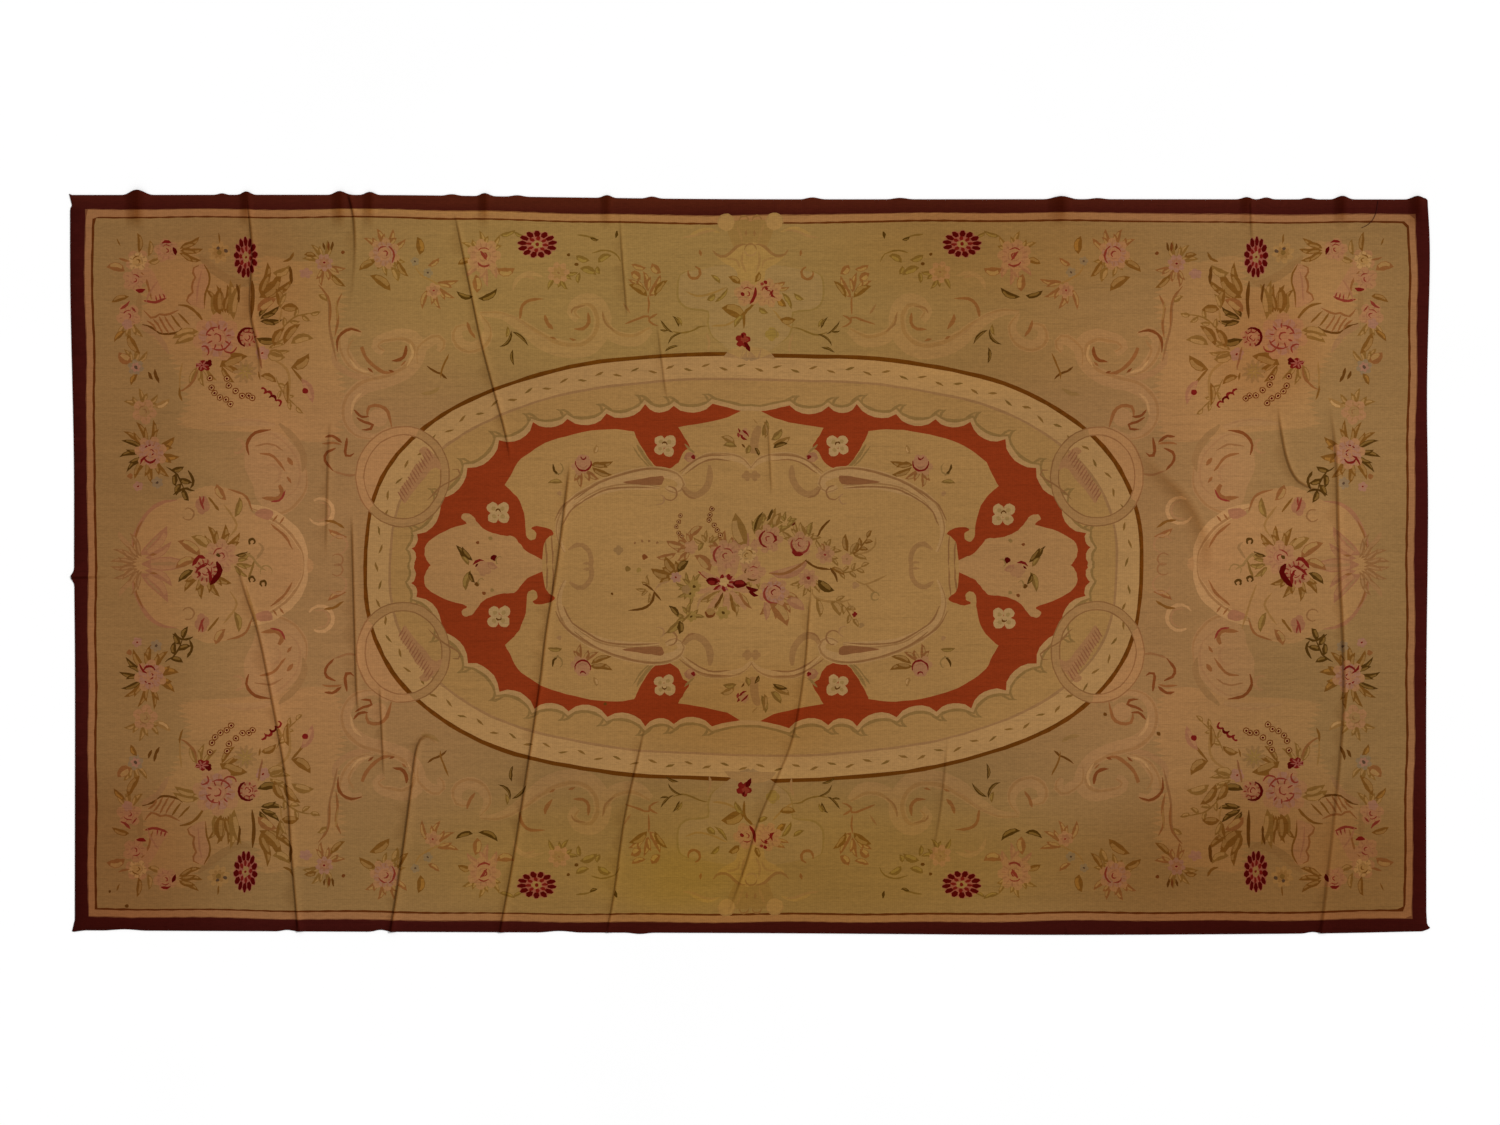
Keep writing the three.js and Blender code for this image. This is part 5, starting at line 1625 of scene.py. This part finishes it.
def woven_sheet(name, sizes, wools):
    """One closed mesh: the pattern's face, the underside and a rounded rim between them."""
    outline = cloth_outline()
    cartoon = drawn_cartoon()
    loops = [hand_drawn(loop) * SQUARE for loop in cartoon.loops]
    main = [index for index, loop in enumerate(loops) if np.ptp(loop, 0).max() > MAIN_AREA]
    face, face_triangles, face_wools = face_of_sheet(
        outline, loops, cartoon.wools, sizes.face_grid, fold_guides(FACE_GUIDES, FACE_GUIDE_STEP))
    back, back_triangles, back_wools = face_of_sheet(
        outline, [loops[i] for i in main], [cartoon.wools[i] for i in main], sizes.back_grid,
        fold_guides(BACK_GUIDES, BACK_GUIDE_STEP))
    face, face_triangles = outline_first(face, face_triangles, outline)
    back, back_triangles = outline_first(back, back_triangles, outline)

    count = len(outline)
    # The folds' lift, and the painted shade that darkens the wool along them
    lift_face, crease_shade_face = folds_at(face)
    lift_back, crease_shade_back = folds_at(back)
    lift_rim = lift_face[:count]
    inward = -normals(np.vstack([outline, outline[:2]]))[1:-1]
    inward = np.roll(inward, 1, 0) * sizes.rim_round
    face[:count] += inward
    back[:count] += inward
    layers = [
        np.column_stack([face, sizes.thickness + lift_face]),
        np.column_stack([outline, sizes.thickness - sizes.rim_round + lift_rim]),
        np.column_stack([outline, sizes.rim_round + lift_rim]),
        np.column_stack([back, lift_back]),
    ]
    first = np.cumsum([0] + [len(layer) for layer in layers[:3]])
    walls = rim_walls(first, count)
    places = np.vstack(layers)
    triangles = np.vstack([face_triangles, back_triangles[:, ::-1] + first[3]] + walls)
    rim_wools = np.full(len(walls) * count, list(WOOLS).index("guard"))
    found = np.concatenate([face_wools, back_wools, rim_wools])
    palette = np.array([getattr(wools, wool) for wool in WOOLS])
    colours = dyed_corners(places[:, :2], triangles, found, palette)
    crease_shade = np.concatenate([crease_shade_face, crease_shade_face[:count], crease_shade_face[:count], crease_shade_back])
    return sheet_mesh(name, places, triangles, colours, crease_shade)


# The loose yarn

YARN_ROUTE = ((2511, 1455), (2508, 1432), (2503, 1406), (2488, 1376), (2466, 1356), (2444, 1346))
YARN_GAP = 0.3 * MM


def yarn_path(sizes):
    """The yarn's centreline on the cloth, as a smooth line of evenly spaced points."""
    flat = evenly(smooth(np.array(YARN_ROUTE, float), 12), 1.5) * MM
    height = sizes.thickness + YARN_GAP + sizes.yarn_diameter / 2
    return np.column_stack([flat, np.full(len(flat), height)])


def twisted_yarn(name, line, sizes):
    """A tube of two plies: round the path its radius is that of two touching circles that turn once
    in each length of twist, and its ends are drawn in to a frayed point."""
    along = np.gradient(line, axis=0)
    along /= np.linalg.norm(along, axis=1, keepdims=True)
    side = np.column_stack([-along[:, 1], along[:, 0], np.zeros(len(line))])
    up = np.cross(along, side)
    around = 16
    angle = np.linspace(0, 2 * np.pi, around, endpoint=False)[None]
    length = np.concatenate([[0], np.cumsum(np.linalg.norm(np.diff(line, axis=0), axis=1))])[:, None]
    turn = 2 * np.pi * length / sizes.yarn_twist
    radius = sizes.yarn_diameter / 2 * (0.62 + 0.38 * np.abs(np.cos(angle - turn)))
    end = np.clip(np.minimum(length, length[-1] - length) / (2 * MM), 0.25, 1)
    radius = (radius * end)[..., None]
    rings = line[:, None] + side[:, None] * np.cos(angle)[..., None] * radius + up[:, None] * np.sin(
        angle)[..., None] * radius
    count = len(line)
    i, j = np.meshgrid(np.arange(count - 1) * around, np.arange(around), indexing="ij")
    after = (j + 1) % around
    faces = np.stack([i + j, i + after, i + after + around, i + j + around], -1).reshape(-1, 4).tolist()
    faces += [list(range(around))[::-1], [(count - 1) * around + k for k in range(around)]]
    mesh = bpy.data.meshes.new(name)
    mesh.from_pydata(rings.reshape(-1, 3).tolist(), [], faces)
    mesh.polygons.foreach_set("use_smooth", np.ones(len(faces), bool))
    mesh.update()
    return mesh


# Materials

def add_node(tree, kind, settings=None, inputs=None):
    """Adds a node with its settings, and links each input to a socket or gives it a value."""
    node = tree.nodes.new(kind)
    for name, value in (settings or {}).items():
        setattr(node, name, value)
    for name, value in (inputs or {}).items():
        if isinstance(value, bpy.types.NodeSocket):
            tree.links.new(value, node.inputs[name])
        else:
            node.inputs[name].default_value = value
    return node


def empty_material(name):
    """A material that holds only an output, with its node tree."""
    material = bpy.data.materials.new(name)
    material.use_nodes = True
    material.node_tree.nodes.clear()
    return material, material.node_tree


def weft_noise(tree, place, size, detail=3):
    """Noise stretched along the wefts: its size along them and across them, in metres."""
    long, short = size
    scaled = add_node(tree, "ShaderNodeMapping", inputs={
        0: place, "Scale": (1 / long, 1 / short, 1 / short)})
    noise = add_node(tree, "ShaderNodeTexNoise", inputs={
        0: scaled.outputs[0], "Scale": 1, "Detail": detail, "Roughness": 0.55})
    return noise.outputs[0]


def streaked(tree, place, colour, size, span, shares, detail=3):
    """A colour made lighter and darker by weft noise: at the two ends of a span of the noise, the
    colour is multiplied by two shares."""
    share = add_node(tree, "ShaderNodeMapRange", {"clamp": True}, {
        "Value": weft_noise(tree, place, size, detail), "From Min": span[0], "From Max": span[1],
        "To Min": shares[0], "To Max": shares[1]})
    streaks = add_node(tree, "ShaderNodeVectorMath", {"operation": "SCALE"},
                       {0: colour, "Scale": share.outputs[0]})
    return streaks.outputs[0]


# Streaks and blotches of dye: their size along and across the wefts, in metres, the span of the
# noise that shows, the share of the colour at its two ends, and the noise's detail
DYE_STREAKS = (
    ((0.3, 0.011), (0.3, 0.7), (0.95, 1.045), 3),
    ((0.014, 0.005), (0.3, 0.7), (0.9, 1.1), 3),
    ((0.9, 0.5), (0.35, 0.65), (0.96, 1.04), 3),
    ((0.16, 0.005), (0.62, 0.74), (1, 0.88), 1),
)
# The brown tint that the painted shade in the creases multiplies the wool by, and the share of it at full
# shade
CREASE_SHADE_TINT = "#c8aa78"
CREASE_SHADE_SHARE = 0.8
# A wave texture at scale 1 has a rib in each 0.314 m
WAVE_RIBS = 2 * 3.1831


def tapestry_wool(looks):
    """Weft-faced wool tapestry, dyed in the yarn and aged. The eye sees matt areas of one colour
    with streaks along the wefts, dye lots that drift and a fine cross rib, and the creases carry painted
    shade. The ribs and weft ends are drawn about twice as coarse as real ones, so that they show."""
    material, tree = empty_material("tapestry_wool")
    place = add_node(tree, "ShaderNodeTexCoord").outputs["Object"]
    colour = add_node(tree, "ShaderNodeAttribute", {"attribute_name": "wool"}).outputs["Color"]
    for streaks in DYE_STREAKS:
        colour = streaked(tree, place, colour, *streaks)
    # Painted shade in the creases: the wool is multiplied towards a brown tint where the attribute is high
    crease_shade = add_node(tree, "ShaderNodeAttribute", {"attribute_name": "crease_shade"}).outputs["Fac"]
    painted_shade = add_node(tree, "ShaderNodeMath", {"operation": "MULTIPLY"}, {0: crease_shade, 1: CREASE_SHADE_SHARE})
    colour = add_node(tree, "ShaderNodeMix", {"data_type": "RGBA", "blend_type": "MULTIPLY"}, {
        0: painted_shade.outputs[0], 6: colour, 7: (*linear(CREASE_SHADE_TINT), 1)}).outputs[2]
    ribs = add_node(tree, "ShaderNodeTexWave", {"wave_type": "BANDS", "bands_direction": "X"},
                    {0: place, "Scale": 1 / (looks.rib_pitch * WAVE_RIBS), "Distortion": 0})
    wefts = weft_noise(tree, place, (0.012, 0.0022), 2)
    relief = add_node(tree, "ShaderNodeMath", {"operation": "MULTIPLY_ADD"},
                      {0: wefts, 1: 0.8, 2: ribs.outputs["Fac"]})
    bump = add_node(tree, "ShaderNodeBump", inputs={
        "Strength": 0.35, "Distance": 0.7 * MM, "Height": relief.outputs[0]})
    shader = add_node(tree, "ShaderNodeBsdfPrincipled", inputs={
        "Base Color": colour, "Roughness": 1, "Normal": bump.outputs[0], "Specular IOR Level": 0})
    add_node(tree, "ShaderNodeOutputMaterial", inputs={"Surface": shader.outputs[0]})
    return material


def guard_yarn(wools):
    """Spun wool in two plies: matt, maroon, and a little fuzzy."""
    material, tree = empty_material("guard_yarn")
    place = add_node(tree, "ShaderNodeTexCoord").outputs["Object"]
    fuzz = (1.5 * MM, 1.5 * MM)
    colour = streaked(tree, place, tuple(wools.guard), fuzz, (0.3, 0.7), (0.85, 1.2))
    bump = add_node(tree, "ShaderNodeBump", inputs={
        "Strength": 0.5, "Distance": 0.3 * MM, "Height": weft_noise(tree, place, fuzz)})
    shader = add_node(tree, "ShaderNodeBsdfPrincipled", inputs={
        "Base Color": colour, "Roughness": 0.95, "Normal": bump.outputs[0], "Specular IOR Level": 0.1})
    add_node(tree, "ShaderNodeOutputMaterial", inputs={"Surface": shader.outputs[0]})
    return material


def painted_floor(looks):
    """A studio floor in matt white paint: the eye sees a plain pale ground with no gloss."""
    material, tree = empty_material("painted_floor")
    place = add_node(tree, "ShaderNodeTexCoord").outputs["Object"]
    colour = streaked(tree, place, tuple(looks.floor), (1.4, 1.4), (0.3, 0.7), (0.995, 1.01))
    shader = add_node(tree, "ShaderNodeBsdfPrincipled", inputs={
        "Base Color": colour, "Roughness": 0.9, "Specular IOR Level": 0.1})
    add_node(tree, "ShaderNodeOutputMaterial", inputs={"Surface": shader.outputs[0]})
    return material


# What a user can change

SENSOR_WIDTH = 36
FRAME_MIDDLE = 8 * MM
FLOOR_HALF = 40
FLOOR_LEVEL = -0.4 * MM
KEY_TURN = (-0.35, 0.75, 0)
KEY_SPREAD = math.radians(12)


class CarpetSizes(bpy.types.PropertyGroup):
    """Sizes of the woven sheet and of its loose yarn."""
    thickness: bpy.props.FloatProperty(
        name="Thickness", description="Thickness of the weave", default=3 * MM, unit="LENGTH")
    rim_round: bpy.props.FloatProperty(
        name="Rim rounding", description="How far the rim is rounded off", default=0.8 * MM, unit="LENGTH")
    face_grid: bpy.props.FloatProperty(
        name="Face grid", description="Mesh spacing on plain areas of the face",
        default=60 * MM, unit="LENGTH")
    back_grid: bpy.props.FloatProperty(
        name="Back grid", description="Mesh spacing on the underside", default=100 * MM, unit="LENGTH")
    yarn_diameter: bpy.props.FloatProperty(
        name="Yarn diameter", description="Diameter of the loose guard yarn",
        default=2.6 * MM, unit="LENGTH")
    yarn_twist: bpy.props.FloatProperty(
        name="Yarn twist", description="Length of one turn of the yarn's two plies",
        default=9 * MM, unit="LENGTH")


class CarpetLooks(bpy.types.PropertyGroup):
    """Sizes and colours of the finishes and of the stage."""
    rib_pitch: bpy.props.FloatProperty(
        name="Rib pitch", description="Distance between the ribs that the warps raise",
        default=4 * MM, unit="LENGTH")
    floor: bpy.props.FloatVectorProperty(
        name="Floor", description="Colour of the floor", default=tuple(linear("#fefefe")), subtype="COLOR")
    camera_height: bpy.props.FloatProperty(
        name="Camera height", description="Height of the camera over the floor", default=10.0, unit="LENGTH")
    camera_lens: bpy.props.FloatProperty(
        name="Lens", description="Focal length on a 36 mm sensor, in mm", default=60.0)
    key_power: bpy.props.FloatProperty(
        name="Key light", description="Strength of the soft key light", default=2.15)
    fill_power: bpy.props.FloatProperty(
        name="Fill light", description="Brightness of the surrounding studio", default=0.54)


def wool_property(name, code):
    """A colour property for one wool."""
    words = name.replace("_", " ")
    return bpy.props.FloatVectorProperty(
        name=words.capitalize(), description=f"Colour of the {words} wool",
        default=tuple(linear(code)), subtype="COLOR")


class CarpetWools(bpy.types.PropertyGroup):
    """The colour of each wool."""
    __annotations__ = {name: wool_property(name, code) for name, code in WOOLS.items()}


# Operators

class CARPET_OT_stage(bpy.types.Operator):
    """Makes the camera straight above, the pale floor, the key light and the studio's fill"""
    bl_idname = "carpet.stage"
    bl_label = "Stage"

    def execute(self, context):
        looks = context.scene.carpet_looks
        lens = bpy.data.cameras.new("camera")
        lens.lens = looks.camera_lens
        lens.sensor_width = SENSOR_WIDTH
        camera = bpy.data.objects.new("camera", lens)
        camera.location = (0, FRAME_MIDDLE, looks.camera_height)
        context.scene.collection.objects.link(camera)
        context.scene.camera = camera

        mesh = bpy.data.meshes.new("floor")
        signs = ((-1, -1), (1, -1), (1, 1), (-1, 1))
        corners = [(x * FLOOR_HALF, y * FLOOR_HALF, FLOOR_LEVEL) for x, y in signs]
        mesh.from_pydata(corners, [], [(0, 1, 2, 3)])
        mesh.materials.append(painted_floor(looks))
        floor = bpy.data.objects.new("floor", mesh)
        context.scene.collection.objects.link(floor)

        sun = bpy.data.lights.new("key", "SUN")
        sun.energy = looks.key_power
        sun.angle = KEY_SPREAD
        key = bpy.data.objects.new("key", sun)
        key.rotation_euler = KEY_TURN
        context.scene.collection.objects.link(key)

        world = bpy.data.worlds.new("studio")
        world.use_nodes = True
        background = world.node_tree.nodes["Background"]
        background.inputs["Color"].default_value = (1, 1, 1, 1)
        background.inputs["Strength"].default_value = looks.fill_power
        context.scene.world = world
        context.scene.view_settings.view_transform = "Standard"
        return {"FINISHED"}


class CARPET_OT_loose_yarn(bpy.types.Operator):
    """Makes the loose end of guard yarn on the upper right corner, with its two twisted plies"""
    bl_idname = "carpet.loose_yarn"
    bl_label = "Loose yarn"

    def execute(self, context):
        sizes = context.scene.carpet_sizes
        line = yarn_path(sizes)
        mesh = twisted_yarn("guard_yarn_end", line, sizes)
        mesh.materials.append(guard_yarn(context.scene.carpet_wools))
        yarn = bpy.data.objects.new("guard_yarn_end", mesh)
        context.scene.collection.objects.link(yarn)
        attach(yarn, "root")
        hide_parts("loose_yarn")
        return {"FINISHED"}


class CARPET_OT_woven_carpet(bpy.types.Operator):
    """Weaves the carpet: one sheet with its pattern, folds and rounded rim"""
    bl_idname = "carpet.woven_carpet"
    bl_label = "Woven carpet"

    def execute(self, context):
        sizes = context.scene.carpet_sizes
        mesh = woven_sheet("aubusson_carpet", sizes, context.scene.carpet_wools)
        mesh.materials.append(tapestry_wool(context.scene.carpet_looks))
        carpet = bpy.data.objects.new("aubusson_carpet", mesh)
        context.scene.collection.objects.link(carpet)
        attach(carpet, "root")
        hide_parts("woven_carpet")
        return {"FINISHED"}


class CARPET_PT_parts(bpy.types.Panel):
    """Lists the carpet's parts in the sidebar"""
    bl_idname = "CARPET_PT_parts"
    bl_label = "Aubusson carpet"
    bl_space_type = "VIEW_3D"
    bl_region_type = "UI"
    bl_category = "Carpet"

    def draw(self, context):
        for operator in PARTS:
            self.layout.operator(operator.bl_idname)
        for group in (context.scene.carpet_sizes, context.scene.carpet_looks):
            for name in group.__annotations__:
                self.layout.prop(group, name)


GROUPS = {"carpet_sizes": CarpetSizes, "carpet_looks": CarpetLooks, "carpet_wools": CarpetWools}
PARTS = (CARPET_OT_stage, CARPET_OT_loose_yarn, CARPET_OT_woven_carpet)


def register():
    for name, group in GROUPS.items():
        bpy.utils.register_class(group)
        setattr(bpy.types.Scene, name, bpy.props.PointerProperty(type=group))
    for part in (*PARTS, CARPET_PT_parts):
        bpy.utils.register_class(part)


def unregister():
    for part in (*PARTS, CARPET_PT_parts):
        bpy.utils.unregister_class(part)
    for name, group in GROUPS.items():
        delattr(bpy.types.Scene, name)
        bpy.utils.unregister_class(group)


def main():
    register()
    bpy.ops.carpet.stage()
    bpy.ops.carpet.loose_yarn()
    bpy.ops.carpet.woven_carpet()
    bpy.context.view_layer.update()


if __name__ == "__main__":
    main()
